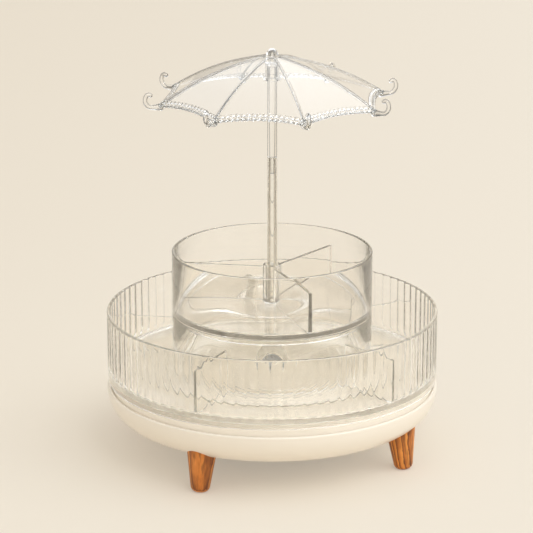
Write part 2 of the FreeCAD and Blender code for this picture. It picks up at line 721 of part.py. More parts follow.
def canopy_hub():
    """The sleeve that turns on the pole, with a collar below and a stud above."""
    bore = "pole_radius + hub_running_gap"
    collar_top = "hub_bottom_height + hub_collar"
    hub = turned("canopy_hub", [
        (bore, "hub_bottom_height"), ("hub_collar_radius", "hub_bottom_height"),
        ("hub_collar_radius", collar_top), ("hub_radius", collar_top), ("hub_radius", "hub_top_height"),
        ("stud_radius", "hub_top_height"), ("stud_radius", "stud_top"), ("0", "stud_top"),
        ("0", "pole_top_height"), (bore, "pole_top_height")])
    deliver(hub, "canopy_hub")


def gore():
    """One of the eight panels, straight across and arched from the crown to its scalloped edge."""
    inner_top, inner_edge = "canopy_top_height - canopy_wall", "canopy_tip_height - canopy_wall"
    strip = prism("gore_strip", "XZ_Plane", [
        ("0", inner_top, "-canopy_arc_radius"), ("gore_edge_radius", inner_edge),
        ("gore_edge_radius", "canopy_tip_height", "canopy_arc_radius"), ("0", "canopy_top_height")],
        "2 * gore_half_edge + 2", midplane=True)
    wedge = prism("gore_wedge", "XY_Plane", [
        ("0", "0"), ("gore_edge_radius", "-gore_half_edge", "-scallop_radius"),
        ("gore_edge_radius", "gore_half_edge")],
        "canopy_drop + 4 * canopy_wall", "canopy_tip_height - 2 * canopy_wall")
    return common("gore", strip, wedge)


def rib():
    """A raised rib along the ridge between two gores, at angle 0."""
    foot = "stud_radius + stud_gap + 1"
    end = "canopy_tip_radius"
    near_top = f"canopy_top_height - {foot} * {foot} / (2 * rib_arc_radius) - {foot} * tan(rib_start_slope)"
    low = "rib_rise - canopy_wall"
    return prism("rib", "XZ_Plane", [
        (foot, f"{near_top} + {low}", "-rib_arc_radius"), (end, f"canopy_tip_height + {low}"),
        (end, "canopy_tip_height + rib_rise", "rib_arc_radius"), (foot, f"{near_top} + rib_rise")],
        "rib_wall", midplane=True)


def scallop_ropes():
    """The two rope borders along the scallop of the gore at angle 0."""
    slope = math.radians(number("gore_edge_slope"))
    half_edge, edge = number("gore_half_edge"), number("gore_edge_radius")
    depth = number("scallop_depth") / math.cos(slope)
    bend = (half_edge ** 2 + depth ** 2) / (2 * depth)
    outward = Vector(math.cos(slope), 0, -math.sin(slope))
    normal = Vector(math.sin(slope), 0, math.cos(slope))
    chord = Vector(edge, 0, number("canopy_tip_height - canopy_wall / 2"))
    span = math.degrees(math.asin(half_edge / bend))
    first_row = bend + number("rope_radius - rope_overhang")
    ropes = []
    for row in range(2):
        centre = chord + outward * (bend - depth)
        radius = first_row + row * number("rope_spacing")
        tube = Part.makeTorus(radius, number("rope_radius"), Vector(), Vector(0, 0, 1), -180, 180, 2 * span)
        tube.rotate(Vector(), Vector(0, 0, 1), 180 - span)
        tilt = Rotation(outward, Vector(0, 1, 0), normal, "ZXY")
        tube.Placement = Placement(centre, tilt) * tube.Placement
        ropes.append(tube)
    return ropes


def hook():
    """The hook at the tip of a rib, at angle 0: a tapered root, a wide bend up and a tight curl over."""
    radius, root_radius, run = number("hook_radius"), number("hook_root_radius"), number("hook_run")
    bend, bend_angle = number("hook_bend_radius"), number("hook_bend_angle")
    curl, curl_angle = number("hook_curl_radius"), number("hook_curl_angle")
    root = Vector(number("canopy_tip_radius - rope_radius"), 0, number("canopy_tip_height - canopy_wall / 2"))

    def spoke(degrees):
        """Unit vector from a bend's centre to where the hook has turned so far."""
        return Vector(math.sin(math.radians(degrees)), 0, -math.cos(math.radians(degrees)))

    def bent(centre, bend_radius, start, sweep):
        """A stretch of the hook bent in the plane of the rib."""
        tube = Part.makeTorus(bend_radius, radius, Vector(), Vector(0, 0, 1), -180, 180, sweep)
        tube.rotate(Vector(), Vector(0, 0, 1), -90)
        tube.rotate(Vector(), Vector(1, 0, 0), 90)
        tube.rotate(Vector(), Vector(0, 1, 0), -start)
        tube.translate(centre)
        return tube

    bend_centre = root + Vector(run, 0, bend)
    curl_centre = bend_centre + spoke(bend_angle) * (bend - curl)
    tip = curl_centre + spoke(bend_angle + curl_angle) * curl
    arm = Part.makeCone(root_radius, radius, run, root, Vector(1, 0, 0))
    return arm.fuse([Part.makeSphere(root_radius, root), bent(bend_centre, bend, 0, bend_angle),
                     bent(curl_centre, curl, bend_angle, curl_angle), Part.makeSphere(radius, tip)])


def fixed_shape(name, shape):
    """A shape worked out from the sheet, as an object of the document."""
    item = DOC.addObject("Part::Feature", name)
    item.Shape = shape
    return item


def canopy():
    """The moulded umbrella: gores, ribs, crown, rope borders and eight hooks in one piece."""
    crown = ring("crown", "stud_radius + stud_gap", "crown_radius", "hub_top_height", "crown_top_height")
    bore = cylinder("crown_bore", "stud_radius + stud_gap", "crown_top_height", "hub_top_height - 1")
    seat = cylinder("finial_seat", "crown_radius", "finial_height", "crown_top_height")
    middle = "first_tip_angle + gore_half_angle"
    ropes = fixed_shape("scallop_ropes", Part.makeCompound(scallop_ropes()))
    hooked = fixed_shape("hook", hook())
    pieces = around("gore", gore(), "gore_count", middle)
    pieces += around("rib", rib(), "gore_count", "first_tip_angle")
    pieces += around("ropes", ropes, "gore_count", middle)
    pieces += around("hook", hooked, "gore_count", "first_tip_angle")
    deliver(cut("canopy", fused("canopy_body", [crown] + pieces), [bore, seat]), "canopy")


def finial():
    """The little bud that closes the top."""
    top = "crown_top_height + finial_height"
    waist = "crown_top_height + finial_height / 4"
    bore, bore_top = "stud_radius + stud_gap", "stud_top + stud_gap"
    bud = turned("finial", [
        (bore, "crown_top_height"), ("finial_neck_radius", "crown_top_height"),
        ("finial_radius", waist, "finial_dome_radius"), ("finial_radius * 0.2", top), ("0", top),
        ("0", bore_top), (bore, bore_top)])
    deliver(bud, "finial")


# ---------------------------------------------------------------- delivery

DELIVERED = []


def deliver(item, node):
    """Name a finished sub-part for its node."""
    item.Label = node
    DELIVERED.append(item)


def check_and_export():
    """Recompute, refuse anything failed or open, and write one STEP file per node."""
    DOC.recompute()
    for item in DOC.Objects:
        if {"Invalid", "Error"} & set(item.State):
            raise RuntimeError(f"{item.Label}: {item.State}")
    os.makedirs("parts", exist_ok=True)
    for item in DELIVERED:
        shape = item.Shape
        if shape.isNull() or not shape.isValid() or not shape.Solids:
            raise RuntimeError(f"{item.Label} has no valid solid")
        shape.exportStep(f"parts/{item.Label}.step")
        box = shape.BoundBox
        print(f"{item.Label:18} solids {len(shape.Solids):3}  z {box.ZMin:7.2f} to {box.ZMax:7.2f}  "
              f"volume {shape.Volume:10.1f}")


for make in (feet_and_shell, base_cover, bearing, pivot, turntable, lower_tray, riser, upper_tray, pole,
             canopy_hub, canopy, finial):
    make()
check_and_export()
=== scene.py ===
"""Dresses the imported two-tier turning organiser: clear fluted trays on an ivory base, and a clear umbrella.

Lengths are millimetres until a surface becomes a mesh, which is in metres. +Z is up and -Y is the front.
"""
from __future__ import annotations

import logging
import math
from dataclasses import dataclass, field
from enum import Enum

import bpy
import numpy as np
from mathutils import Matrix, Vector

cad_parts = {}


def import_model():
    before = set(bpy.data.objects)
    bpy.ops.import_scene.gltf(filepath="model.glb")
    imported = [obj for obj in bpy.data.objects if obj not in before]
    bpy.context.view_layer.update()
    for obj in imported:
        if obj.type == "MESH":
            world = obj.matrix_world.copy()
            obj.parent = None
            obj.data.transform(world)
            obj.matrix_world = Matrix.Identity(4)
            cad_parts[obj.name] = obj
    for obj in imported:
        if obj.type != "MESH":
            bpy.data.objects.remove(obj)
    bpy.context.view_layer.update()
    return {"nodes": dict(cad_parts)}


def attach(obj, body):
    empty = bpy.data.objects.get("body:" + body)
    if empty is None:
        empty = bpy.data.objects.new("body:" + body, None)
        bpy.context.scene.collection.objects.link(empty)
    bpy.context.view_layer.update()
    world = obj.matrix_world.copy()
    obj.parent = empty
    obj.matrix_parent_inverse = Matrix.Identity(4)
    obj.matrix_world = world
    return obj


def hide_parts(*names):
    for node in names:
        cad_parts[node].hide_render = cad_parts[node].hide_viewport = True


LOG = logging.getLogger("organiser")
MM = 0.001
HAIR = 0.05                                 # air between clear pieces that rest on each other, in millimetres
TRAY_STEPS = 256                            # straight steps round the base and the trays
TUBE_STEPS = 64                             # and round the feet, the pole, the crown and the hub
SIDEWAYS = np.array([0.0, 1.0, 0.0])        # normal of the plane in which ribs and hooks lie
UPWARDS = np.array([0.0, 0.0, 1.0])

Colour = tuple[float, float, float, float]
Pair = tuple[float, float]
Triple = tuple[float, float, float]
Tree = bpy.types.NodeTree
Node = bpy.types.Node
Socket = bpy.types.NodeSocket


# ---------------------------------------------------------------- surfaces

@dataclass
class Surface:
    """A mesh as whole arrays: points (n, 3) in millimetres, quads (m, 4) and triangles (k, 3)."""

    points: np.ndarray
    quads: np.ndarray
    triangles: np.ndarray = field(default_factory=lambda: np.zeros((0, 3), int))

    def turned(self, degrees: float) -> Surface:
        """Turn the surface about the pivot axis.

        Args:
            degrees: how far, anticlockwise from above.

        Returns:
            The turned surface.
        """
        c, s = math.cos(math.radians(degrees)), math.sin(math.radians(degrees))
        turn = np.array([[c, -s, 0.0], [s, c, 0.0], [0.0, 0.0, 1.0]])
        return Surface(self.points @ turn.T, self.quads, self.triangles)

    def repeated(self, count: int, first: float = 0.0) -> Surface:
        """Copies of the surface at equal angles round the pivot axis, as one."""
        return Surface.joined([self.turned(first + 360.0 / count * place) for place in range(count)])

    @staticmethod
    def joined(surfaces: list[Surface]) -> Surface:
        """Put several surfaces together.

        Args:
            surfaces: the surfaces, in order.

        Returns:
            One surface with all their points and faces.
        """
        starts = np.cumsum([0] + [len(item.points) for item in surfaces[:-1]])
        return Surface(np.concatenate([item.points for item in surfaces]),
                       np.concatenate([item.quads + start for item, start in zip(surfaces, starts)]),
                       np.concatenate([item.triangles + start for item, start in zip(surfaces, starts)]))

    def as_object(self, name: str, crease: float = 30.0) -> bpy.types.Object:
        """Put the surface into a mesh object at the origin.

        Args:
            name: the piece's name.
            crease: edges that turn by more than this many degrees stay sharp.

        Returns:
            The new object, smooth shaded.
        """
        mesh = bpy.data.meshes.new(name)
        mesh.from_pydata((self.points * MM).tolist(), [], self.quads.tolist() + self.triangles.tolist())
        mesh.validate()
        mesh.shade_smooth()
        mesh.set_sharp_from_angle(angle=math.radians(crease))
        piece = bpy.data.objects.new(name, mesh)
        bpy.context.scene.collection.objects.link(piece)
        return piece


def grid_faces(rows: int, columns: int, rows_close: bool, columns_close: bool) -> np.ndarray:
    """Quads of a grid of points whose rows follow each other.

    Args:
        rows: number of rows.
        columns: points in each row.
        rows_close: whether the last row joins the first.
        columns_close: whether the last column joins the first.

    Returns:
        Quads in the order (this, next column, both, next row).
    """
    index = np.arange(rows * columns).reshape(rows, columns)
    across = np.roll(index, -1, axis=1)
    above, both = np.roll(index, -1, axis=0), np.roll(across, -1, axis=0)
    quads = np.stack([index, across, both, above], axis=-1)
    quads = quads[:rows if rows_close else rows - 1, :columns if columns_close else columns - 1]
    return quads.reshape(-1, 4)


def end_fans(rows: int, columns: int) -> np.ndarray:
    """Triangles from the first and the last row of a closed grid to two points that follow the grid's own.

    Args:
        rows: number of rows.
        columns: points in each row.

    Returns:
        Triangles (2 * columns, 3).
    """
    near, count = np.arange(columns), rows * columns
    far = near + count - columns
    first = np.stack([np.full(columns, count), np.roll(near, -1), near], axis=-1)
    last = np.stack([far, np.roll(far, -1), np.full(columns, count + 1)], axis=-1)
    return np.concatenate([first, last])


def rounded(corners: list[tuple[float, ...]], steps: int = 5, closed: bool = True) -> np.ndarray:
    """A line through corners, each rounded by an arc of its own radius.

    A corner of turn t and radius f gives way to an arc that touches both sides f * tan(t / 2) from it.

    Args:
        corners: (across, up) or (across, up, radius).
        steps: straight pieces in each arc.
        closed: whether the last corner leads back to the first.

    Returns:
        Points (n, 2).
    """
    places = np.array([corner[:2] for corner in corners], float)
    line = []
    for here, corner in enumerate(corners):
        place, radius = places[here], corner[2] if len(corner) > 2 else 0.0
        before, after = places[here - 1], places[(here + 1) % len(corners)]
        if not radius or (not closed and here in (0, len(corners) - 1)):
            line.append(place[None])
            continue
        back = (before - place) / np.linalg.norm(before - place)
        onward = (after - place) / np.linalg.norm(after - place)
        half = math.acos(float(np.clip(back @ onward, -1.0, 1.0))) / 2
        centre = place + (back + onward) / np.linalg.norm(back + onward) * radius / math.sin(half)
        first, last = place + back * radius / math.tan(half), place + onward * radius / math.tan(half)
        share = np.linspace(0.0, 1.0, steps + 1)[:, None]
        sweep = math.pi - 2 * half
        arc = np.sin((1 - share) * sweep) * (first - centre) + np.sin(share * sweep) * (last - centre)
        line.append(centre + arc / math.sin(sweep))
    return np.concatenate(line)


def bulged(start: Pair, end: Pair, radius: float, steps: int) -> np.ndarray:
    """An arc of one radius between two points, bulging to the right of its way.

    Its centre lies on the left, sqrt(radius^2 - (chord / 2)^2) from the chord's middle.

    Args:
        start: where the arc starts.
        end: where it ends.
        radius: its radius.
        steps: straight pieces in it.

    Returns:
        Points (steps - 1, 2), without the two ends.
    """
    first, last = np.array(start), np.array(end)
    chord = last - first
    half = float(np.linalg.norm(chord)) / 2
    left = np.array([-chord[1], chord[0]]) / (2 * half)
    centre = (first + last) / 2 + left * math.sqrt(radius ** 2 - half ** 2)
    begin = math.atan2(*(first - centre)[::-1])
    turn = begin + np.linspace(0.0, 2 * math.asin(half / radius), steps + 1)[1:-1]
    return centre + radius * np.stack([np.cos(turn), np.sin(turn)], axis=-1)


def ring_of(profile: np.ndarray, segments: int, cut: np.ndarray | None = None) -> Surface:
    """A profile (radius, height) turned about the pivot axis; it runs anticlockwise and closes on itself.

    Point (i, j) is (r cos a, r sin a, z), where a is the j-th of equal angles and r is the profile's radius
    less cut[i, j].

    Args:
        profile: points (n, 2).
        segments: steps round the axis.
        cut: what to take off the radius at each profile point and angle.

    Returns:
        The closed surface. Where the profile starts and ends on the axis, its two ends are single points.
    """
    on_axis = profile[0, 0] == 0.0
    body = profile[1:-1] if on_axis else profile
    angle = np.linspace(0.0, 2 * math.pi, segments, endpoint=False)
    radius = np.broadcast_to(body[:, :1] - (0.0 if cut is None else cut), (len(body), segments))
    height = np.broadcast_to(body[:, 1:], radius.shape)
    points = np.stack([radius * np.cos(angle), radius * np.sin(angle), height], axis=-1).reshape(-1, 3)
    quads = grid_faces(len(body), segments, not on_axis, True)
    if not on_axis:
        return Surface(points, quads)
    ends = np.array([[0.0, 0.0, profile[0, 1]], [0.0, 0.0, profile[-1, 1]]])
    return Surface(np.concatenate([points, ends]), quads, end_fans(len(body), segments))


def swept(path: np.ndarray, heading: np.ndarray, section: np.ndarray, plane: np.ndarray) -> Surface:
    """A section carried along a path that lies in one plane, with a fan of triangles over each end.

    Point (i, j) is path[i] + section[i, j, 0] * side[i] + section[i, j, 1] * plane, where side is plane
    crossed with the heading.

    Args:
        path: points (n, 3).
        heading: unit directions (n, 3) along the path.
        section: (n, k, 2), anticlockwise when seen against the heading.
        plane: unit normal of the path's plane.

    Returns:
        The closed surface.
    """
    side = np.cross(plane, heading)
    points = path[:, None] + section[..., :1] * side[:, None] + section[..., 1:] * plane
    rows, columns = section.shape[:2]
    points = np.concatenate([points.reshape(-1, 3), points[:1].mean(axis=1), points[-1:].mean(axis=1)])
    return Surface(points, grid_faces(rows, columns, False, True), end_fans(rows, columns))


def over_x(along: np.ndarray, height: np.ndarray) -> np.ndarray:
    """Points (n, 3) over the X axis, at distances from the pivot and at heights."""
    return np.stack([along, np.zeros_like(along), height], axis=-1)


def headings(path: np.ndarray) -> np.ndarray:
    """Unit directions along a path, from the differences of its points."""
    step = np.gradient(path, axis=0)
    return step / np.linalg.norm(step, axis=1, keepdims=True)


def lengths(path: np.ndarray) -> np.ndarray:
    """Length of a path up to each of its points."""
    return np.concatenate([[0.0], np.cumsum(np.linalg.norm(np.diff(path, axis=0), axis=1))])


def dome_ends(length: np.ndarray, radius: float) -> np.ndarray:
    """A tube's radius along its length, round at both ends.

    At a distance d from an end it is radius * sqrt(1 - (1 - d / radius)^2), up to the full radius.

    Args:
        length: distances along the tube.
        radius: its full radius.

    Returns:
        The radius at each distance.
    """
    near = np.minimum(length, length[-1] - length) / radius
    return radius * np.sqrt(np.clip(1 - (1 - np.clip(near, 0.02, 1.0)) ** 2, 0.0, 1.0))


def around(sides: int) -> np.ndarray:
    """Equal angles round a tube, in radians."""
    return np.linspace(0.0, 2 * math.pi, sides, endpoint=False)


def round_section(radii: np.ndarray, sides: int) -> np.ndarray:
    """Circles of radii (n,) or (n, sides) as sections (n, sides, 2)."""
    size = radii[:, None, None] if radii.ndim == 1 else radii[..., None]
    return size * np.stack([np.cos(around(sides)), np.sin(around(sides))], axis=-1)


# ---------------------------------------------------------------- nodes

def put(tree: Tree, kind: str, inputs: dict[str | int, object] | None = None, **settings: object) -> Node:
    """Add a node to a tree.

    Args:
        tree: where the node goes.
        kind: its type, which for a shader node leaves out ShaderNode.
        inputs: for an input's name or number, a plain value or another node's output.
        settings: the node's own settings, such as an operation.

    Returns:
        The new node.
    """
    node = tree.nodes.new(kind if kind.startswith("NodeGroup") else "ShaderNode" + kind)
    for name, value in settings.items():
        setattr(node, name, value)
    for name, value in (inputs or {}).items():
        if isinstance(value, Socket):
            tree.links.new(value, node.inputs[name])
        else:
            node.inputs[name].default_value = value
    return node


def worked_out(tree: Tree, operation: str, first: Socket, second: Socket | float,
               clamp: bool = False) -> Socket:
    """The result of a Math node."""
    return put(tree, "Math", {0: first, 1: second}, operation=operation, use_clamp=clamp).outputs["Value"]


def ranged(tree: Tree, value: Socket, source: Pair, target: tuple[Socket | float, Socket | float],
           kind: str = "LINEAR") -> Socket:
    """A value carried from one range into another and held at the ends.

    Args:
        tree: where the node goes.
        value: what to carry over.
        source: the range it comes from.
        target: the range it goes to.
        kind: how it runs between the ends.

    Returns:
        The value in its new range.
    """
    ends = dict(zip(("From Min", "From Max", "To Min", "To Max"), (*source, *target)))
    return put(tree, "MapRange", {"Value": value, **ends}, interpolation_type=kind).outputs["Result"]


def toned(tree: Tree, value: Socket, stops: tuple[tuple[float, Colour], ...]) -> Socket:
    """A value turned into a colour.

    Args:
        tree: where the node goes.
        value: between 0 and 1.
        stops: positions and colours in rising order.

    Returns:
        The colour.
    """
    node = put(tree, "ValToRGB", {"Fac": value})
    elements = node.color_ramp.elements
    for number, (position, colour) in enumerate(stops):
        stop = elements[number] if number < 2 else elements.new(position)
        stop.position, stop.color = position, colour
    return node.outputs["Color"]


def blended(tree: Tree, share: Socket, first: Socket | Colour, second: Socket | Colour) -> Socket:
    """Two colours mixed by a share of the second."""
    return put(tree, "Mix", {"Factor": share, "A": first, "B": second}, data_type="RGBA").outputs["Result"]


def new_material(name: str, values: dict[str, object]) -> tuple[bpy.types.Material, Tree, Node, Node]:
    """Make a material.

    Args:
        name: the material's name.
        values: plain values for the Principled shader's own sockets.

    Returns:
        The material, its node tree, its Principled shader and its output.
    """
    material = bpy.data.materials.new(name)
    material.use_nodes = True
    nodes = material.node_tree.nodes
    for socket, value in values.items():
        nodes["Principled BSDF"].inputs[socket].default_value = value
    return material, material.node_tree, nodes["Principled BSDF"], nodes["Material Output"]


def handling_marks() -> bpy.types.ShaderNodeTree:
    """A node group: soft patches of roughness between Low and High, as fingers leave on plastic.

    Returns:
        The group, made at its first use.
    """
    name = "handling_marks"
    if name in bpy.data.node_groups:
        return bpy.data.node_groups[name]
    group = bpy.data.node_groups.new(name, "ShaderNodeTree")
    new_socket = group.interface.new_socket
    for socket, value in (("Scale", 30.0), ("Low", 0.2), ("High", 0.3)):
        new_socket(socket, in_out="INPUT", socket_type="NodeSocketFloat").default_value = value
    new_socket("Roughness", in_out="OUTPUT", socket_type="NodeSocketFloat")
    given, place = put(group, "NodeGroupInput").outputs, put(group, "TexCoord").outputs["Object"]
    noise = put(group, "TexNoise", {"Vector": place, "Scale": given["Scale"], "Detail": 1.0}).outputs["Fac"]
    patches = ranged(group, noise, (0.35, 0.65), (given["Low"], given["High"]), "SMOOTHSTEP")
    put(group, "NodeGroupOutput", {"Roughness": patches})
    return group


def mark(tree: Tree, shader: Node, roughness: Pair, scale: float = 30.0) -> None:
    """Let a shader's roughness wander between two values, in patches that shrink as the scale grows."""
    marks = put(tree, "Group", {"Scale": scale, "Low": roughness[0], "High": roughness[1]},
                node_tree=handling_marks())
    tree.links.new(marks.outputs["Roughness"], shader.inputs["Roughness"])


# ---------------------------------------------------------------- finishes

def linear(red: int, green: int, blue: int) -> Colour:
    """An 8-bit display colour as the shader's linear colour."""
    def channel(value: int) -> float:
        """One channel, by the display's transfer curve."""
        share = value / 255
        return share / 12.92 if share <= 0.04045 else ((share + 0.055) / 1.055) ** 2.4
    return (channel(red), channel(green), channel(blue), 1.0)


@dataclass(frozen=True)
class SolidPlastic:
    """Moulded opaque plastic with a soft sheen."""

    name: str
    colour: Colour
    roughness: Pair
    coat: float = 0.0

    def material(self) -> bpy.types.Material:
        """Make the finish.

        Returns:
            The material.
        """
        material, tree, shader, _ = new_material(self.name, {
            "Base Color": self.colour, "Coat Weight": self.coat, "Coat Roughness": 0.08})
        mark(tree, shader, self.roughness)
        return material


@dataclass(frozen=True)
class ClearPlastic:
    """Clear moulded plastic.

    Shadow rays pass it with a light tint, so that what it holds stays lit. Light that has been reflected
    more often than `reflections` leaks straight out, or it would be lost as black in thick edges. The share
    that leaks changes from the first to the second `leak` over the heights `deck`. Thin round pieces take a
    dark `line` painted into the base colour along their outlines, a painted reflection of dark surroundings,
    which starts, peaks and ends at the three `painted_edge_stops` of how far the surface has turned away.
    """

    name: str
    colour: Colour
    shade: Colour
    line: Colour | None = None
    painted_edge_stops: Triple = (0.5, 0.9, 1.0)
    roughness: Pair = (0.0, 0.02)
    index: float = 1.49
    reflections: float = 1.5
    deck: Pair = (0.0632, 0.0638)
    leak: Pair = (0.45, 0.18)

    def material(self) -> bpy.types.Material:
        """Make the finish.

        Returns:
            The material.
        """
        material, tree, shader, output = new_material(self.name, {
            "Base Color": self.colour, "IOR": self.index, "Transmission Weight": 1.0})
        mark(tree, shader, self.roughness)
        # Painted reflection: the base colour darkens to `line` where the surface turns away, in place of dark
        # surroundings seen at the outline.
        if self.line:
            turned = put(tree, "LayerWeight", {"Blend": 0.5}).outputs["Facing"]
            stops = tuple(zip(self.painted_edge_stops, (self.colour, self.line, self.colour)))
            tree.links.new(toned(tree, turned, stops), shader.inputs["Base Color"])
        passing = put(tree, "BsdfTransparent", {"Color": self.shade}).outputs["BSDF"]
        choice = put(tree, "MixShader", {"Fac": self._passing_share(tree), 1: shader.outputs["BSDF"],
                                         2: passing})
        tree.links.new(choice.outputs["Shader"], output.inputs["Surface"])
        return material

    def _passing_share(self, tree: Tree) -> Socket:
        """The share of light that goes straight through: all of a shadow ray, some of a trapped one.

        Args:
            tree: where the nodes go.

        Returns:
            The share.
        """
        rays = put(tree, "LightPath").outputs
        place = put(tree, "SeparateXYZ", {"Vector": put(tree, "TexCoord").outputs["Object"]}).outputs
        trapped = worked_out(tree, "GREATER_THAN", rays["Glossy Depth"], self.reflections)
        leaking = worked_out(tree, "MULTIPLY", trapped, ranged(tree, place["Z"], self.deck, self.leak))
        return worked_out(tree, "MAXIMUM", rays["Is Shadow Ray"], leaking)


@dataclass(frozen=True)
class Metal:
    """Plated or polished metal, a little duller in patches."""

    name: str
    colour: Colour
    roughness: Pair

    def material(self) -> bpy.types.Material:
        """Make the finish.

        Returns:
            The material.
        """
        material, tree, shader, _ = new_material(self.name, {"Base Color": self.colour, "Metallic": 1.0})
        mark(tree, shader, self.roughness, 300.0)
        return material


@dataclass(frozen=True)
class TurnedWood:
    """Oiled brown wood whose rings run lengthwise. It reads the attribute that the foot's mesh carries."""

    name: str
    space: str
    light: Colour
    middle: Colour
    dark: Colour
    pith: Triple = (0.006, 0.004, 0.0)
    slant: Triple = (0.08, 0.05, 0.0)
    ring_stretch: float = 0.22
    pore_noise: Pair = (0.07, 900.0)        # squeeze along the grain, scale
    patch_noise: Pair = (0.3, 120.0)        # the same
    ring_stops: Triple = (0.0, 0.4, 0.85)
    pore_span: Pair = (0.5, 0.62)
    patch_span: Pair = (0.45, 0.75)
    darkening: float = 0.6

    def material(self) -> bpy.types.Material:
        """Make the finish: rings round a slanted pith, bent by noise, with fine pores along the grain.

        Returns:
            The material.
        """
        material, tree, shader, _ = new_material(self.name, {"Roughness": 0.42})
        place = put(tree, "Attribute", attribute_name=self.space).outputs["Vector"]

        def speckle(squeeze: float, scale: float) -> Socket:
            """Noise of one scale, squeezed in its lookup and so drawn out along the grain."""
            vector = put(tree, "Mapping", {"Vector": place, "Scale": (1.0, 1.0, squeeze)}).outputs["Vector"]
            return put(tree, "TexNoise", {"Vector": vector, "Scale": scale, "Detail": 3.0}).outputs["Fac"]

        centred = put(tree, "Mapping", {"Vector": place, "Location": self.pith, "Rotation": self.slant,
                                        "Scale": (1.0, 1.0, self.ring_stretch)}).outputs["Vector"]
        rings = put(tree, "TexWave", {"Vector": centred, "Scale": 150.0, "Distortion": 6.0, "Detail": 4.0,
                                      "Detail Scale": 0.9, "Detail Roughness": 0.6},
                    wave_type="RINGS", rings_direction="Z", wave_profile="SAW").outputs["Fac"]
        pores, patches = speckle(*self.pore_noise), speckle(*self.patch_noise)
        colour = toned(tree, rings, tuple(zip(self.ring_stops, (self.dark, self.middle, self.light))))
        for mask, span in ((patches, self.patch_span), (pores, self.pore_span)):
            colour = blended(tree, ranged(tree, mask, span, (0.0, self.darkening)), colour, self.dark)
        tree.links.new(colour, shader.inputs["Base Color"])
        bump = put(tree, "Bump", {"Strength": 0.12, "Distance": 0.0003, "Height": pores})
        tree.links.new(bump.outputs["Normal"], shader.inputs["Normal"])
        return material


class Finish(Enum):
    """The finishes of this object."""

    IVORY_GLOSS = SolidPlastic("ivory gloss plastic", linear(247, 238, 224), (0.28, 0.3), 0.15)
    # The turntable plate's ivory satin is its own finish, but it is set darker than the shell's partly as
    # painted shade on the tray floor above it.
    IVORY_SATIN_PAINTED_SHADE = SolidPlastic("ivory satin plastic", linear(240, 230, 214), (0.45, 0.55))
    WHITE_NYLON = SolidPlastic("white nylon", linear(232, 231, 226), (0.5, 0.6))
    CLEAR_TRAY = ClearPlastic("clear tray plastic", linear(254, 253, 251), linear(253, 252, 249))
    # The dark fourth colour of the pole, tube, trim and hook finishes is a painted dark edge, a painted
    # reflection of dark surroundings at the outline.
    CLEAR_POLE = ClearPlastic("clear pole plastic", linear(254, 254, 253), linear(252, 251, 249),
                              linear(20, 18, 16), (0.13, 0.2, 0.28))
    CLEAR_TUBE = ClearPlastic("clear tube plastic", linear(254, 254, 253), linear(252, 251, 249),
                              linear(150, 143, 132), (0.13, 0.2, 0.28), leak=(0.45, 0.5))
    CLEAR_UMBRELLA = ClearPlastic("clear umbrella plastic", linear(254, 254, 254), linear(252, 252, 251))
    CLEAR_TRIM = ClearPlastic("clear trim plastic", linear(254, 254, 254), linear(252, 252, 251),
                              linear(110, 106, 100), (0.5, 0.9, 1.0), reflections=0.5, leak=(0.6, 0.6))
    CLEAR_HOOK = ClearPlastic("clear hook plastic", linear(254, 254, 254), linear(252, 252, 251),
                              linear(14, 13, 12), (0.12, 0.24, 0.4), reflections=0.5, leak=(0.6, 0.6))
    ZINC = Metal("zinc plated steel", linear(186, 187, 188), (0.27, 0.38))
    POLISHED_STEEL = Metal("polished ball steel", linear(214, 215, 217), (0.05, 0.1))
    TEAK = TurnedWood("oiled brown wood", "foot_space", linear(240, 156, 70), linear(208, 122, 46),
                      linear(96, 46, 10))

    def made(self) -> bpy.types.Material:
        """The finish's material, made at its first use."""
        return bpy.data.materials.get(self.value.name) or self.value.material()


def dress(piece: bpy.types.Object, finish: Finish) -> None:
    """Give a piece one finish all over."""
    if not piece.data.materials:
        piece.data.materials.append(finish.made())
    for place in range(len(piece.data.materials)):
        piece.data.materials[place] = finish.made()


def place_piece(piece: bpy.types.Object, finish: Finish, body: str, slot: str, *nodes: str) -> None:
    """Dress a new piece, let it ride on its body and stand for its nodes.

    Args:
        piece: the object, at the origin.
        finish: how it looks.
        body: the moving body that carries it.
        slot: the record's material slot; not used.
        nodes: solids that it stands for.
    """
    dress(piece, finish)
    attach(piece, body)
    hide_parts(*nodes)
    LOG.info("%s on %s, %d faces", piece.name, body, len(piece.data.polygons))


# ---------------------------------------------------------------- base

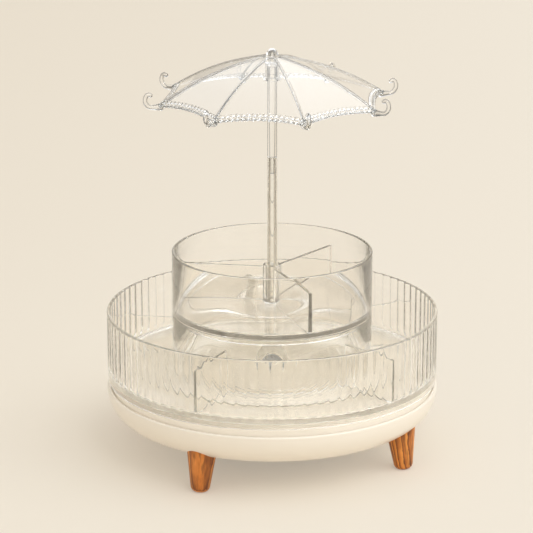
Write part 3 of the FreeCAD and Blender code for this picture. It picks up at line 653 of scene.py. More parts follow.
@dataclass
class SaucerBase:
    """The ivory saucer, its cover and the four wooden feet."""

    radius: float = 120.5
    wall: float = 2.5
    bottom: float = 16.0
    rim: float = 49.2
    rim_rounds: Pair = (1.2, 0.6)           # outside and inside
    slope: float = 16.0
    shoulder_radius: float = 22.0
    shoulder_height: float = 47.0
    upright: Pair = (0.4, 0.6)              # over the shoulder: where the side ends and the rim starts
    blend_radius: float = 60.0
    cover_gap: float = 0.4
    cover_wall: float = 2.4
    cover_round: float = 0.5
    deck: float = 51.6
    deck_wall: float = 2.5
    deck_rounds: Pair = (0.6, 0.4)          # above and below the deck
    cover_rim: float = 54.1
    skirt: float = 44.0
    bore: float = 2.15
    foot_circle: float = 107.3
    first_foot: float = -118.2
    splay: float = 6.0
    tip_radius: float = 7.0
    top_radius: float = 11.5
    blank_length: float = 36.0
    tip_round: float = 4.6
    tip_worn: float = 0.3
    foot_buried: float = 0.3
    grain_shift: float = 70.0

    def saucer_side(self, inset: float, steps: int) -> np.ndarray:
        """The saucer's wall from the centre to below its rim, set in by an inset.

        The flat floor, the cone and the upright wall meet in two corners, rounded by the blend and the
        shoulder.

        Args:
            inset: how far inside the outer skin.
            steps: straight pieces in each arc.

        Returns:
            Points (radius, height) from the centre outwards.
        """
        rise = math.tan(math.radians(self.slope))
        shoulder = self.shoulder_radius - inset
        touch_r = self.radius - self.shoulder_radius + shoulder * math.sin(math.radians(self.slope))
        touch_z = self.shoulder_height - shoulder * math.cos(math.radians(self.slope))
        floor, outer = self.bottom + inset, self.radius - inset
        crease = touch_r - (touch_z - floor) / rise
        corner = touch_z + (outer - touch_r) * rise
        return rounded([(0.0, floor), (crease, floor, self.blend_radius - inset), (outer, corner, shoulder),
                        (outer, self.shoulder_height + self.upright[0])], steps, closed=False)

    def shell(self) -> Surface:
        """The saucer as a closed wall with a rounded rim.

        Returns:
            The closed surface.
        """
        outer, inner = self.saucer_side(0.0, 24), self.saucer_side(self.wall, 12)
        inside, start = self.radius - self.wall, self.shoulder_height + self.upright[1]
        edge = rounded([(self.radius, start), (self.radius, self.rim, self.rim_rounds[0]),
                        (inside, self.rim, self.rim_rounds[1]), (inside, start)], 6, closed=False)
        return ring_of(np.concatenate([outer, edge, inner[::-1]]), TRAY_STEPS)

    def cover(self) -> Surface:
        """The deck with its raised rim, which shows as a recessed band over the saucer.

        Returns:
            The closed surface.
        """
        outer = self.radius - self.wall - self.cover_gap
        inner, low = outer - self.cover_wall, self.deck - self.deck_wall
        above, below = self.deck_rounds
        return ring_of(rounded([
            (self.bore, low), (inner, low, below), (inner, self.skirt), (outer, self.skirt),
            (outer, self.cover_rim, self.cover_round), (inner, self.cover_rim, self.cover_round),
            (inner, self.deck, above), (self.bore, self.deck)]), TRAY_STEPS)

    def foot(self, angle: float) -> tuple[Surface, np.ndarray]:
        """One turned foot, flat at its worn tip and coped to the saucer.

        In the foot's own space a point is (R(h) cos a, R(h) sin a, h), where R is the turned profile. Each
        column is cut off at the height where it meets the saucer's skin, found by halving. The grain's space
        is the foot's less its taper, so that the rings run along the foot.

        Args:
            angle: where the foot stands round the pivot, in degrees.

        Returns:
            The surface, and its points in the grain's space.
        """
        sides, rows, halvings, lowest = TUBE_STEPS, 20, 24, 8.0
        turn, lean = around(sides), math.radians(self.splay)
        flare = (self.top_radius - self.tip_radius) / (self.blank_length - self.tip_round)
        blank = rounded([(0.0, -self.tip_worn),
                         (self.tip_radius - flare * self.tip_round, -self.tip_worn, self.tip_round),
                         (self.top_radius, self.blank_length)], 8, closed=False)
        skin = self.saucer_side(0.0, 24)

        def placed(height: np.ndarray) -> tuple[np.ndarray, np.ndarray]:
            """Points of the profile, before the turn round the pivot.

            Args:
                height: how far along the foot, for each column.

            Returns:
                The points in the foot's own space and in the object's.
            """
            reach = np.interp(height, blank[1:, 1], blank[1:, 0])
            own = np.stack([reach * np.cos(turn), reach * np.sin(turn), height], axis=-1)
            out = np.stack([self.foot_circle + own[..., 0] * math.cos(lean) - own[..., 2] * math.sin(lean),
                            own[..., 1],
                            own[..., 0] * math.sin(lean) + own[..., 2] * math.cos(lean)], axis=-1)
            return own, out

        low, high = np.full(sides, lowest), np.full(sides, self.blank_length)
        for _ in range(halvings):
            middle = (low + high) / 2
            x, y, z = placed(middle)[1].T
            buried = z > np.interp(np.hypot(x, y), skin[:, 0], skin[:, 1]) + self.foot_buried
            low, high = np.where(buried, low, middle), np.where(buried, middle, high)
        rounding = blank[2:-1, 1]
        share = np.linspace(0.0, 1.0, rows)[1:, None]
        heights = np.concatenate([np.broadcast_to(rounding[:, None], (len(rounding), sides)),
                                  rounding[-1] + (high - rounding[-1]) * share])
        own, out = placed(heights)
        out[..., 2] = np.maximum(out[..., 2], 0.0)
        ends = np.stack([own[0].mean(axis=0), own[-1].mean(axis=0)])
        tips = np.stack([out[0].mean(axis=0), out[-1].mean(axis=0)])
        own[..., :2] /= 1 + flare * own[..., 2:] / self.tip_radius
        surface = Surface(np.concatenate([out.reshape(-1, 3), tips]),
                          grid_faces(len(heights), sides, False, True), end_fans(len(heights), sides))
        return surface.turned(angle), np.concatenate([own.reshape(-1, 3), ends])

    def build(self) -> None:
        """Make and dress the shell, the cover and the feet, each foot with grain of its own."""
        gloss = Finish.IVORY_GLOSS
        place_piece(self.shell().as_object("saucer_shell"), gloss, "base", "ivory_shell", "base_shell")
        place_piece(self.cover().as_object("deck_cover"), gloss, "base", "ivory_cover", "base_cover")
        for place, label in enumerate(("front_left", "front_right", "back_right", "back_left")):
            surface, grain = self.foot(self.first_foot + 90.0 * place)
            piece = surface.as_object("wooden_foot_" + label, 40.0)
            grain[:, 2] += self.grain_shift * place
            space = piece.data.attributes.new("foot_space", "FLOAT_VECTOR", "POINT")
            space.data.foreach_set("vector", (grain * MM).ravel())
            place_piece(piece, Finish.TEAK, "base", "foot_wood", "foot_" + label)


@dataclass
class Bearing:
    """The hidden works between the cover and the turntable, and the turntable itself."""

    bore: float = 4.08
    radius: float = 117.0
    bottom: float = 54.6
    top: float = 58.0
    edge_round: float = 0.4

    def build(self, nodes: dict[str, bpy.types.Object]) -> None:
        """Dress the solids that stay, and make the turntable plate.

        Args:
            nodes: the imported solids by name.
        """
        for name, finish in (("foot_screws", Finish.ZINC), ("cover_screws", Finish.ZINC),
                             ("pivot_screw", Finish.ZINC), ("pivot_washer", Finish.ZINC),
                             ("pivot_bush", Finish.WHITE_NYLON), ("ball_cage", Finish.WHITE_NYLON),
                             ("bearing_balls", Finish.POLISHED_STEEL)):
            dress(nodes[name], finish)
        plate = ring_of(rounded([(self.bore, self.bottom), (self.radius, self.bottom, self.edge_round),
                                 (self.radius, self.top, self.edge_round), (self.bore, self.top)]),
                        TRAY_STEPS)
        place_piece(plate.as_object("turntable_disc"), Finish.IVORY_SATIN_PAINTED_SHADE, "turntable", "turntable_plastic",
                    "turntable_plate")


# ---------------------------------------------------------------- clear trays

def upright_plate(along: np.ndarray, foot: float, top: np.ndarray, walls: Pair,
                  full_height: float) -> Surface:
    """An upright plate along the X axis, thinner at its top and with softened top edges.

    Its half thickness at height z runs in a straight line from walls[0] / 2 at the foot to walls[1] / 2 at
    full_height.

    Args:
        along: distances from the pivot of the plate's columns.
        foot: height of its lower edge.
        top: height of its upper edge at each column.
        walls: thickness at the foot and at the full height.
        full_height: the height where the plate has its second thickness.

    Returns:
        The closed surface.
    """
    soften = 0.35
    share = (top - foot) / (full_height - foot)
    half = (walls[0] + (walls[1] - walls[0]) * share) / 2
    base, low = np.full_like(half, walls[0] / 2), np.zeros_like(half)
    rise = top - foot
    section = np.stack([np.stack(corner, axis=-1) for corner in (
        (-base, low), (base, low), (half, rise - soften), (half - soften, rise), (soften - half, rise),
        (-half, rise - soften))], axis=1)
    path = over_x(along, np.full_like(along, foot))
    heading = np.broadcast_to(np.array([1.0, 0.0, 0.0]), path.shape)
    return swept(path, heading, section, UPWARDS)


@dataclass
class LowerTray:
    """The wide clear tray with its fluted wall and its five fins."""

    radius: float = 120.0
    wall: float = 2.7
    skirt: float = 54.6
    skirt_round: float = 0.3
    floor: float = 58.0
    floor_top: float = 61.3
    floor_fillet: float = 2.0
    rim: float = 105.0
    rim_round: float = 0.7
    hole: float = 12.0
    step: Triple = (80.0, 94.0, 1.0)        # inside and outside radius, rise
    locating_ring: Triple = (67.5, 69.7, 2.5)   # the same
    step_round: float = 0.25
    flutes: int = 90
    flute_steps: int = 12
    flute_radius: float = 14.0
    flute_depth: float = 0.5
    flute_foot: float = 66.0
    flute_runout: float = 4.0
    flute_end: float = 103.8
    flute_lip: float = 0.15
    fins: int = 5
    first_fin: float = -116.7
    fin_start: float = 72.8
    fin_walls: Pair = (2.6, 1.5)            # thickness at the foot and at the top
    fin_top: float = 94.0
    hump_radius: float = 106.5
    hump_run: float = 5.5
    hump: float = 1.6
    hump_step: float = 1.0

    def bowl(self) -> Surface:
        """The tray's wall and floor as one closed ring.

        The outside is cut by a ball-nosed flute at equal angles. At distance y along the wall from a flute's
        middle and depth e below its end the cut is sqrt(R^2 - y^2 - e^2) - (R - depth), where that is above
        zero.

        Returns:
            The closed surface.
        """
        inner, low = self.radius - self.wall, self.floor + HAIR
        runout = np.linspace(self.flute_foot - self.flute_runout, self.flute_foot, 9)

        def raised(inside: float, outside: float, rise: float) -> list[tuple[float, ...]]:
            """A raised ring on the floor, from outside to inside."""
            top, fillet = self.floor_top + rise, self.step_round
            return [(outside, self.floor_top), (outside, top, fillet), (inside, top, fillet),
                    (inside, self.floor_top)]

        profile = rounded([
            (self.hole, low), (inner, low), (inner, self.skirt, self.skirt_round),
            (self.radius, self.skirt, self.skirt_round), *((self.radius, float(z)) for z in runout),
            (self.radius, self.flute_end), (self.radius, self.flute_end + self.flute_lip),
            (self.radius, self.rim, self.rim_round), (inner, self.rim, self.rim_round),
            (inner, self.floor_top, self.floor_fillet), *raised(*self.step), *raised(*self.locating_ring),
            (self.hole, self.floor_top)])
        segments, pitch = self.flutes * self.flute_steps, 360.0 / self.flutes
        angle = np.linspace(0.0, 360.0, segments, endpoint=False)
        across = np.radians((angle + pitch / 2) % pitch - pitch / 2) * self.radius
        height = profile[:, 1:]
        below = np.maximum(self.flute_foot - height, 0.0)
        room = np.maximum(self.flute_radius ** 2 - across ** 2 - below ** 2, 0.0)
        cut = np.maximum(np.sqrt(room) - (self.flute_radius - self.flute_depth), 0.0)
        slack = 1e-6
        outside = (profile[:, :1] > self.radius - slack) & (height <= self.flute_end + slack)
        return ring_of(profile, segments, cut * outside)

    def fin(self) -> Surface:
        """One fin at angle 0.

        Its top swells by hump * (1 + s)^2 * (1 - 2 s) before the hump's peak and drops to a lower shelf at
        the wall by (hump + hump_step) * t^2 * (3 - 2 t) past it, where s and t are the distances from the
        peak, as shares of the hump's run, held between -1 and 0 and between 0 and 1.

        Returns:
            The closed surface.
        """
        end = self.radius - self.wall - HAIR
        start, stop = self.hump_radius - self.hump_run, self.hump_radius + self.hump_run
        along = np.concatenate([np.linspace(self.fin_start, start, 6)[:-1], np.linspace(start, stop, 17),
                                np.linspace(stop, end, 3)[1:]])
        before = np.clip((along - self.hump_radius) / self.hump_run, -1.0, 0.0)
        after = np.clip((along - self.hump_radius) / self.hump_run, 0.0, 1.0)
        top = (self.fin_top + self.hump * (1 + before) ** 2 * (1 - 2 * before)
               - (self.hump + self.hump_step) * after ** 2 * (3 - 2 * after))
        return upright_plate(along, self.floor_top + HAIR, top, self.fin_walls, self.fin_top + self.hump)

    def build(self) -> None:
        """Make and dress the tray as one piece."""
        tray = Surface.joined([self.bowl(), self.fin().repeated(self.fins)]).turned(self.first_fin)
        place_piece(tray.as_object("fluted_tray", 25.0), Finish.CLEAR_TRAY, "turntable", "tray_clear",
                    "lower_tray")


@dataclass
class UpperTier:
    """The clear riser drum and the clear cup on it."""

    radius: float = 72.5
    wall: float = 2.5
    foot: float = 61.3
    seat: float = 103.2
    edge_round: float = 0.3
    floor_top: float = 106.5
    floor_fillet: float = 2.0
    rim: float = 148.7
    rim_round: float = 0.8
    cup_wall: float = 2.3
    lip: Triple = (67.5, 69.7, 4.0)         # inside and outside radius, drop
    socket: Triple = (3.6, 6.6, 138.0)      # bore, outside radius, height of its top
    socket_rounds: Triple = (0.8, 0.6, 0.3)     # at its foot, round its top, in its bore
    dividers: int = 3
    first_divider: float = -68.1
    divider_walls: Pair = (3.0, 2.2)        # thickness at the foot and at the top
    divider_top: float = 136.2

    def drum(self) -> Surface:
        """The riser: a plain clear ring."""
        corners = [(self.radius - self.wall, self.foot + HAIR), (self.radius, self.foot + HAIR),
                   (self.radius, self.seat - HAIR), (self.radius - self.wall, self.seat - HAIR)]
        return ring_of(rounded([(*corner, self.edge_round) for corner in corners], 3), TRAY_STEPS)

    def cup(self) -> Surface:
        """The cup with its locating lip, pole socket and dividers.

        Returns:
            The bowl and the plates as one surface.
        """
        inner, soft = self.radius - self.cup_wall, self.edge_round
        lip_in, lip_out, drop = self.lip
        bore, socket, socket_top = self.socket
        foot_fillet, outer_round, bore_round = self.socket_rounds
        bowl = ring_of(rounded([
            (0.0, self.seat), (lip_in, self.seat), (lip_in, self.seat - drop, soft),
            (lip_out, self.seat - drop, soft), (lip_out, self.seat), (self.radius, self.seat, soft),
            (self.radius, self.rim, self.rim_round), (inner, self.rim, self.rim_round),
            (inner, self.floor_top, self.floor_fillet), (socket, self.floor_top, foot_fillet),
            (socket, socket_top, outer_round), (bore, socket_top, bore_round), (bore, self.floor_top),
            (0.0, self.floor_top)], 5, closed=False), TRAY_STEPS)
        along = np.linspace(socket + HAIR, inner - HAIR, 12)
        top = np.full_like(along, self.divider_top)
        plate = upright_plate(along, self.floor_top + HAIR, top, self.divider_walls, self.divider_top)
        return Surface.joined([bowl, plate.repeated(self.dividers, self.first_divider)])

    def build(self) -> None:
        """Make and dress the drum and the cup."""
        finish = Finish.CLEAR_TRAY
        place_piece(self.drum().as_object("clear_riser"), finish, "turntable", "riser_clear", "riser_drum")
        place_piece(self.cup().as_object("clear_cup"), finish, "cup", "cup_clear", "upper_tray")


# ---------------------------------------------------------------- pole and umbrella

@dataclass
class Pole:
    """The two clear tubes of the pole, the upper one with a spigot in the lower."""

    radius: float = 3.5
    bore: float = 2.1
    foot: float = 106.5
    joint: float = 217.6
    top: float = 283.0
    spigot: Triple = (2.0, 12.0, 0.4)       # radius, reach, rounding of its nose
    rounds: Triple = (0.35, 0.3, 0.2)       # at the joint, at the top, in the bore

    def build(self) -> None:
        """Make and dress both tubes."""
        foot, joint, top = self.foot + HAIR, self.joint + HAIR, self.top - HAIR
        at_joint, at_top, in_bore = self.rounds
        spigot, reach, nose = self.spigot
        lower = ring_of(rounded([(self.bore, foot), (self.radius, foot), (self.radius, self.joint, at_joint),
                                 (self.bore, self.joint, in_bore)], 3), TUBE_STEPS)
        upper = ring_of(rounded([(0.0, joint - reach), (spigot, joint - reach, nose), (spigot, joint),
                                 (self.radius, joint, at_joint), (self.radius, top, at_top), (0.0, top)],
                                3, closed=False), TUBE_STEPS)
        place_piece(lower.as_object("pole_tube_lower"), Finish.CLEAR_TUBE, "pole", "pole_clear", "pole_lower")
        place_piece(upper.as_object("pole_tube_upper"), Finish.CLEAR_POLE, "pole", "pole_clear", "pole_upper")


@dataclass
class Umbrella:
    """The clear umbrella: eight gores, ribs, rope borders, hooks, hub and finial."""

    gores: int = 8
    first_tip: float = -74.5
    tip_radius: float = 82.5
    top: float = 291.5
    drop: float = 31.5
    arc_radius: float = 175.0
    wall: float = 1.6
    scallop: float = 3.0
    gore_steps: tuple[int, int] = (16, 26)  # across and along each gore
    stud_radius: float = 2.0
    stud_gap: float = 0.1
    crown_radius: float = 5.6
    crown_foot: float = 285.3
    crown_top: float = 291.0
    crown_rounds: Pair = (0.5, 0.9)         # below and above
    rib_radius: float = 1.05
    rope_radius: float = 1.5
    rope_spacing: float = 3.2
    rope_overhang: float = 0.25
    rope_pitch: float = 3.7
    rope_groove: float = 0.2
    hook_radii: Triple = (2.8, 1.7, 1.6)    # at the root, where the bend starts and at the end
    hook_run: float = 6.0
    hook_bend: Pair = (5.3, 125.0)          # radius and degrees
    hook_curl: Pair = (2.0, 95.0)           # radius and degrees
    hub_radius: float = 5.0
    hub_bore: float = 3.58
    hub_foot: float = 273.4
    hub_collar: Pair = (6.2, 2.5)           # radius and height
    hub_rounds: Triple = (0.5, 0.4, 0.3)    # at the collar, at the top, elsewhere
    pole_top: float = 283.0
    stud_top: float = 294.2
    finial_top: float = 296.4
    finial_radii: Triple = (3.2, 4.3, 0.86)     # neck, belly and point
    finial_dome: float = 5.0

    @property
    def half(self) -> float:
        """Half the angle of a gore, in radians."""
        return math.pi / self.gores

    @property
    def edge(self) -> float:
        """Distance of a gore's straight edge from the pivot."""
        return self.tip_radius * math.cos(self.half)

    @property
    def slope(self) -> float:
        """Downward slope of a gore at its edge, in radians."""
        chord = math.hypot(self.edge, self.drop)
        return math.atan(self.drop / self.edge) + math.asin(chord / (2 * self.arc_radius))

    def arch(self, x: np.ndarray) -> np.ndarray:
        """Height of a gore, which follows an arc from the crown to its edge.

        Args:
            x: distances from the pivot, square to the gore's edge.

        Returns:
            The heights.
        """
        chord = math.hypot(self.edge, self.drop)
        depth = math.sqrt(self.arc_radius ** 2 - (chord / 2) ** 2) / chord
        middle_x = self.edge / 2 - self.drop * depth
        middle_z = self.top - self.drop / 2 - self.edge * depth
        return middle_z + np.sqrt(self.arc_radius ** 2 - (x - middle_x) ** 2)

    def panels(self) -> Surface:
        """All eight gores as one closed shell.

        At angle a from a gore's middle the shell reaches x / cos(a) from the pivot, where x runs from the
        crown to the scalloped edge, and its height depends on x alone, so each gore is straight across. The
        edge is the straight one less scallop * (1 - s^2), where s is x tan(a) as a share of half the gore's
        width. It stands on both sides, so it is found by putting it in four times.

        Returns:
            The closed surface.
        """
        columns, rows = self.gore_steps
        offset = np.tile(np.linspace(-self.half, self.half, columns, endpoint=False), self.gores)
        angle = np.repeat(np.arange(self.gores) * 2 * self.half, columns) + offset + self.half
        edge_x = np.full_like(offset, self.edge)
        for _ in range(4):
            share = np.tan(offset) * edge_x / (self.tip_radius * math.sin(self.half))
            edge_x = self.edge - self.scallop * (1 - share ** 2)
        edge_x = edge_x - self.rope_radius / 2
        start = self.crown_radius - 0.4
        x = start + (edge_x - start) * np.linspace(0.0, 1.0, rows)[:, None]
        outer, inner = self.arch(x), self.arch(x) - self.wall
        reach = np.concatenate([x[::-1], x]) / np.cos(offset)
        height = np.concatenate([outer[::-1], inner])
        points = np.stack([reach * np.cos(angle), reach * np.sin(angle), height], axis=-1).reshape(-1, 3)
        return Surface(points, grid_faces(2 * rows, len(offset), True, True))

    def rib(self) -> Surface:
        """A half-sunk round rib along the ridge at angle 0.

        At distance r from the pivot its line is at the gore's height at r cos(half a gore), a little lower.

        Returns:
            The closed surface.
        """
        sunk = 0.1
        reach = np.linspace(self.crown_radius - 1.0, self.tip_radius, 40)
        path = over_x(reach, self.arch(reach * math.cos(self.half)) - sunk)
        section = round_section(dome_ends(lengths(path), self.rib_radius), 12)
        return swept(path, headings(path), section, SIDEWAYS)

    def border(self) -> Surface:
        """Two twisted ropes along the scallop of the gore at angle 0.

        Both ropes run on arcs about one centre in the plane that carries on the gore's slope at its edge. A
        rope's radius at angle q round it and length s along it is r (1 - g + g cos(2 q + 2 pi s / pitch)),
        where g is the groove.

        Returns:
            The closed surfaces as one.
        """
        slope, sides, steps = self.slope, 16, 220
        half_edge = self.tip_radius * math.sin(self.half)
        depth = self.scallop / math.cos(slope)
        bend = (half_edge ** 2 + depth ** 2) / (2 * depth)
        outward = np.array([math.cos(slope), 0.0, -math.sin(slope)])
        normal = np.array([math.sin(slope), 0.0, math.cos(slope)])
        chord = np.array([self.edge, 0.0, self.top - self.drop - self.wall / 2])
        centre = chord + outward * (bend - depth)
        span = math.asin(half_edge / bend)
        turn = np.linspace(-span, span, steps + 1)[:, None]
        ray = -np.cos(turn) * outward + np.sin(turn) * SIDEWAYS
        heading = np.sin(turn) * outward + np.cos(turn) * SIDEWAYS
        parts = []
        for row in range(2):
            radius = bend + self.rope_radius - self.rope_overhang + row * self.rope_spacing
            twist = np.cos(2 * around(sides) + 2 * math.pi * (turn * radius) / self.rope_pitch)
            size = self.rope_radius * (1 - self.rope_groove + self.rope_groove * twist)
            parts.append(swept(centre + radius * ray, heading, round_section(size, sides), normal))
        return Surface.joined(parts)

    def hook(self) -> Surface:
        """The hook at angle 0: a tapered root, a wide bend up, a tight curl over and a domed end.

        Where the hook has turned by t, its line is at the bend's centre + radius (sin t, -cos t) in the plane
        of the rib. Its thickness falls in a straight line over the root, and again over the bends.

        Returns:
            The closed surface.
        """
        root_radius, radius, end_radius = self.hook_radii
        bend, sweep = self.hook_bend
        curl, curl_sweep = self.hook_curl
        start = np.array([self.tip_radius - self.rope_radius, self.top - self.drop - self.wall / 2])
        sunk = 2.0

        def spoke(turn: np.ndarray) -> np.ndarray:
            """Unit vectors from a bend's centre."""
            return np.stack([np.sin(turn), -np.cos(turn)], axis=-1)

        run = np.linspace(-sunk, self.hook_run, 12)
        line = start + np.stack([run, np.zeros_like(run)], axis=-1)
        bend_centre = start + np.array([self.hook_run, bend])
        first = np.radians(np.linspace(0.0, sweep, 40))
        curl_centre = bend_centre + spoke(first[-1]) * (bend - curl)
        second = first[-1] + np.radians(np.linspace(0.0, curl_sweep, 22))
        heading = np.array([math.cos(second[-1]), math.sin(second[-1])])
        onward = np.linspace(0.2, 1.0, 6)[:, None] * end_radius * heading
        last = curl_centre + curl * spoke(second[-1]) + onward
        plan = np.concatenate([line, bend_centre + bend * spoke(first[1:]),
                               curl_centre + curl * spoke(second[1:]), last])
        path = over_x(plan[:, 0], plan[:, 1])
        length = lengths(path)
        taper = np.interp(length, [0.0, sunk, sunk + self.hook_run, length[-1]],
                          [root_radius, root_radius, radius, end_radius])
        section = round_section(dome_ends(length, end_radius) / end_radius * taper, 16)
        return swept(path, headings(path), section, SIDEWAYS)

    def crown(self) -> Surface:
        """The boss in the middle of the gores."""
        bore, (low, high) = self.stud_radius + self.stud_gap, self.crown_rounds
        return ring_of(rounded([
            (bore, self.crown_foot + HAIR), (self.crown_radius, self.crown_foot + HAIR, low),
            (self.crown_radius, self.crown_top, high), (bore, self.crown_top)]), TUBE_STEPS)

    def hub(self) -> Surface:
        """The sleeve on the pole, with its collar below and its stud above.

        Returns:
            The closed surface.
        """
        collar, shelf = self.hub_collar[0], self.hub_foot + self.hub_collar[1]
        at_collar, at_top, fine = self.hub_rounds
        return ring_of(rounded([
            (0.0, self.pole_top), (self.hub_bore, self.pole_top), (self.hub_bore, self.hub_foot),
            (collar, self.hub_foot, at_collar), (collar, shelf, at_collar), (self.hub_radius, shelf, fine),
            (self.hub_radius, self.crown_foot, at_top), (self.stud_radius, self.crown_foot),
            (self.stud_radius, self.stud_top, fine), (0.0, self.stud_top)], 4, closed=False), TUBE_STEPS)

    def finial(self) -> Surface:
        """The bud on top: a narrow neck, a full belly and a blunt point.

        Returns:
            The closed surface.
        """
        bore, roof = self.stud_radius + self.stud_gap, self.stud_top + self.stud_gap
        foot, under, sides = self.crown_top + HAIR, 0.1, 48
        neck, belly, point = self.finial_radii
        waist = self.crown_top + (self.finial_top - self.crown_top) / 4
        dome = bulged((belly, waist), (point, self.finial_top), self.finial_dome, 14)
        return ring_of(np.array([
            (0.0, roof), (bore, roof), (bore, foot), (neck, foot), (belly - under, waist - under),
            (belly, waist), *dome, (point, self.finial_top), (0.0, self.finial_top)]), sides)

    def build(self) -> None:
        """Make and dress the canopy, its ribs, ropes and hooks, the hub and the finial."""
        trim, bold, count, first = Finish.CLEAR_TRIM, Finish.CLEAR_HOOK, self.gores, self.first_tip
        canopy = Surface.joined([self.panels(), self.crown()]).turned(first)
        ropes = self.border().repeated(count, first + math.degrees(self.half))
        for name, surface, finish, crease, node in (
                ("umbrella_canopy", canopy, Finish.CLEAR_UMBRELLA, 24.0, "canopy"),
                ("umbrella_ribs", self.rib().repeated(count, first), bold, 40.0, "canopy"),
                ("umbrella_ropes", ropes, trim, 40.0, "canopy"),
                ("umbrella_hooks", self.hook().repeated(count, first), bold, 40.0, "canopy"),
                ("umbrella_hub", self.hub(), bold, 30.0, "canopy_hub"),
                ("umbrella_finial", self.finial(), bold, 45.0, "finial")):
            place_piece(surface.as_object(name, crease), finish, "umbrella", "umbrella_clear", node)


# ---------------------------------------------------------------- studio

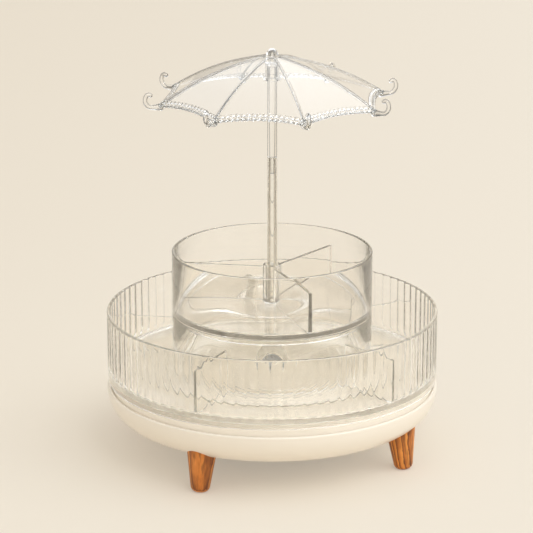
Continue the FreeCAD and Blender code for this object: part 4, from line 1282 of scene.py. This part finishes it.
@dataclass
class Studio:
    """The pale table, the soft light and the camera. Its lengths are metres."""

    table_reach: float = 20.0
    # The table's two tones are painted light falloff: painted shade to the far left, painted light to the
    # near right.
    table_painted_shade_far_left: Colour = linear(236, 226, 210)
    table_painted_light_near_right: Colour = linear(246, 238, 225)
    table_painted_falloff: Triple = (0.9, -0.05, 0.0)
    table_glow: float = 0.35
    camera_place: Triple = (-0.00409, -1.6631, 0.6355)
    camera_pitch: float = 16.716
    lens: float = 162.1
    sensor: float = 36.0
    clip: Pair = (0.05, 60.0)
    sun_way: Triple = (-1.0, 0.35, -0.95)
    sun_strength: float = 0.95
    sun_colour: Triple = (0.86, 0.93, 1.0)
    sun_spread: float = 60.0
    box_place: Triple = (0.45, -1.3, 1.5)
    box_aim: Triple = (0.0, 0.0, 0.15)
    box_size: Pair = (0.35, 0.9)
    box_power: float = 4.2
    sky: Colour = linear(255, 251, 243)
    sky_strength: float = 0.75
    wall_tone: Colour = linear(205, 196, 182)
    wall_top: float = 0.3
    gap_tone: Colour = linear(100, 88, 70)
    gap_span: Pair = (0.34, 0.4)
    roof_tones: tuple[Colour, Colour] = (linear(247, 249, 251), linear(250, 252, 255))
    roof_edge: float = 0.45
    side_strength: Pair = (0.78, 1.42)
    side_span: Pair = (-0.35, 0.3)
    roof_lift: float = 1.47
    roof_span: Pair = (0.38, 0.5)
    bounces: int = 24
    clear_bounces: int = 32

    def table_top(self) -> None:
        """A wide pale plane under the feet, its tone painted darker to the far left and lighter to the near
        right as a painted light falloff. It glows a little where it is seen, so that shadows stay pale.
        """
        far = self.table_reach
        mesh = bpy.data.meshes.new("table_top")
        mesh.from_pydata([(-far, -far, 0.0), (far, -far, 0.0), (far, far, 0.0), (-far, far, 0.0)], [],
                         [(0, 1, 2, 3)])
        table = bpy.data.objects.new("table_top", mesh)
        bpy.context.scene.collection.objects.link(table)
        material, tree, shader, output = new_material("pale table", {
            "Roughness": 0.85, "Specular IOR Level": 0.15})
        place, rays = put(tree, "TexCoord").outputs["Object"], put(tree, "LightPath").outputs
        # Painted light falloff: the table's tone runs from painted shade at the far left to painted light at
        # the near right.
        painted_falloff = put(tree, "VectorMath", {0: place, 1: self.table_painted_falloff},
                    operation="DOT_PRODUCT").outputs["Value"]
        tone = blended(tree, worked_out(tree, "ADD", painted_falloff, 0.5, clamp=True), self.table_painted_shade_far_left,
                       self.table_painted_light_near_right)
        seen = worked_out(tree, "MAXIMUM", rays["Is Camera Ray"], rays["Is Glossy Ray"])
        seen = worked_out(tree, "MAXIMUM", seen, rays["Is Transmission Ray"])
        mix = put(tree, "MixShader", {"Fac": worked_out(tree, "MULTIPLY", seen, self.table_glow),
                                      1: shader.outputs["BSDF"],
                                      2: put(tree, "Emission", {"Color": tone}).outputs["Emission"]})
        tree.links.new(tone, shader.inputs["Base Color"])
        tree.links.new(mix.outputs["Shader"], output.inputs["Surface"])
        mesh.materials.append(material)

    def sky_light(self) -> None:
        """A plain sky. Gloss and clear plastic see a studio: pale walls, a dark gap and a bright roof."""
        world = bpy.data.worlds.new("soft sky")
        bpy.context.scene.world = world
        world.use_nodes = True
        tree = world.node_tree
        plain = tree.nodes["Background"]
        plain.inputs["Color"].default_value = self.sky
        plain.inputs["Strength"].default_value = self.sky_strength
        way = put(tree, "SeparateXYZ", {"Vector": put(tree, "TexCoord").outputs["Generated"]}).outputs
        rays = put(tree, "LightPath").outputs
        tones = toned(tree, way["Z"], (
            (0.0, self.wall_tone), (self.wall_top, self.wall_tone),
            (self.gap_span[0], self.gap_tone), (self.gap_span[1], self.gap_tone),
            (self.roof_edge, self.roof_tones[0]), (1.0, self.roof_tones[1])))
        strength = worked_out(tree, "MULTIPLY", ranged(tree, way["X"], self.side_span, self.side_strength),
                              ranged(tree, way["Z"], self.roof_span, (1.0, self.roof_lift)))
        studio = put(tree, "Background", {"Color": tones, "Strength": strength}).outputs["Background"]
        mirrored = worked_out(tree, "MAXIMUM", rays["Is Glossy Ray"], rays["Is Transmission Ray"])
        choice = put(tree, "MixShader", {"Fac": mirrored, 1: plain.outputs["Background"], 2: studio})
        tree.links.new(choice.outputs["Shader"], tree.nodes["World Output"].inputs["Surface"])

    @staticmethod
    def lamp(data: bpy.types.Light, way: Vector, place: Triple = (0.0, 0.0, 0.0)) -> None:
        """Put a lamp in the scene.

        Args:
            data: the light, whose name it takes.
            way: the direction that it shines in.
            place: where it stands.
        """
        lamp = bpy.data.objects.new(data.name, data)
        lamp.location, lamp.rotation_euler = place, way.to_track_quat("-Z", "Y").to_euler()
        bpy.context.scene.collection.objects.link(lamp)

    def lamps(self) -> None:
        """A broad sun from the upper right, and a soft box in front that draws white lines on edges."""
        sun = bpy.data.lights.new("broad_sun", "SUN")
        sun.energy, sun.color, sun.angle = self.sun_strength, self.sun_colour, math.radians(self.sun_spread)
        self.lamp(sun, Vector(self.sun_way))
        box = bpy.data.lights.new("soft_box", "AREA")
        box.shape, box.size, box.size_y, box.energy = "RECTANGLE", *self.box_size, self.box_power
        self.lamp(box, Vector(self.box_aim) - Vector(self.box_place), self.box_place)

    def camera(self) -> None:
        """A long lens, a little above the object and straight in front of it."""
        data = bpy.data.cameras.new("camera")
        data.lens, data.sensor_width = self.lens, self.sensor
        data.clip_start, data.clip_end = self.clip
        camera = bpy.data.objects.new("camera", data)
        camera.location = self.camera_place
        camera.rotation_euler = (math.radians(90.0 - self.camera_pitch), 0.0, 0.0)
        bpy.context.scene.collection.objects.link(camera)
        bpy.context.scene.camera = camera

    def build(self) -> None:
        """Make the studio, with enough bounces for light to pass all the clear walls."""
        scene = bpy.context.scene
        scene.view_settings.view_transform = "Standard"
        scene.cycles.max_bounces = scene.cycles.transmission_bounces = self.bounces
        scene.cycles.transparent_max_bounces = self.clear_bounces
        self.table_top()
        self.sky_light()
        self.lamps()
        self.camera()


def main() -> None:
    """Load the frame and build every sub-assembly round it."""
    logging.basicConfig(level=logging.INFO, format="%(message)s")
    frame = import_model()
    SaucerBase().build()
    Bearing().build(frame["nodes"])
    for assembly in (LowerTray(), UpperTier(), Pole(), Umbrella(), Studio()):
        assembly.build()


if __name__ == "__main__":
    main()
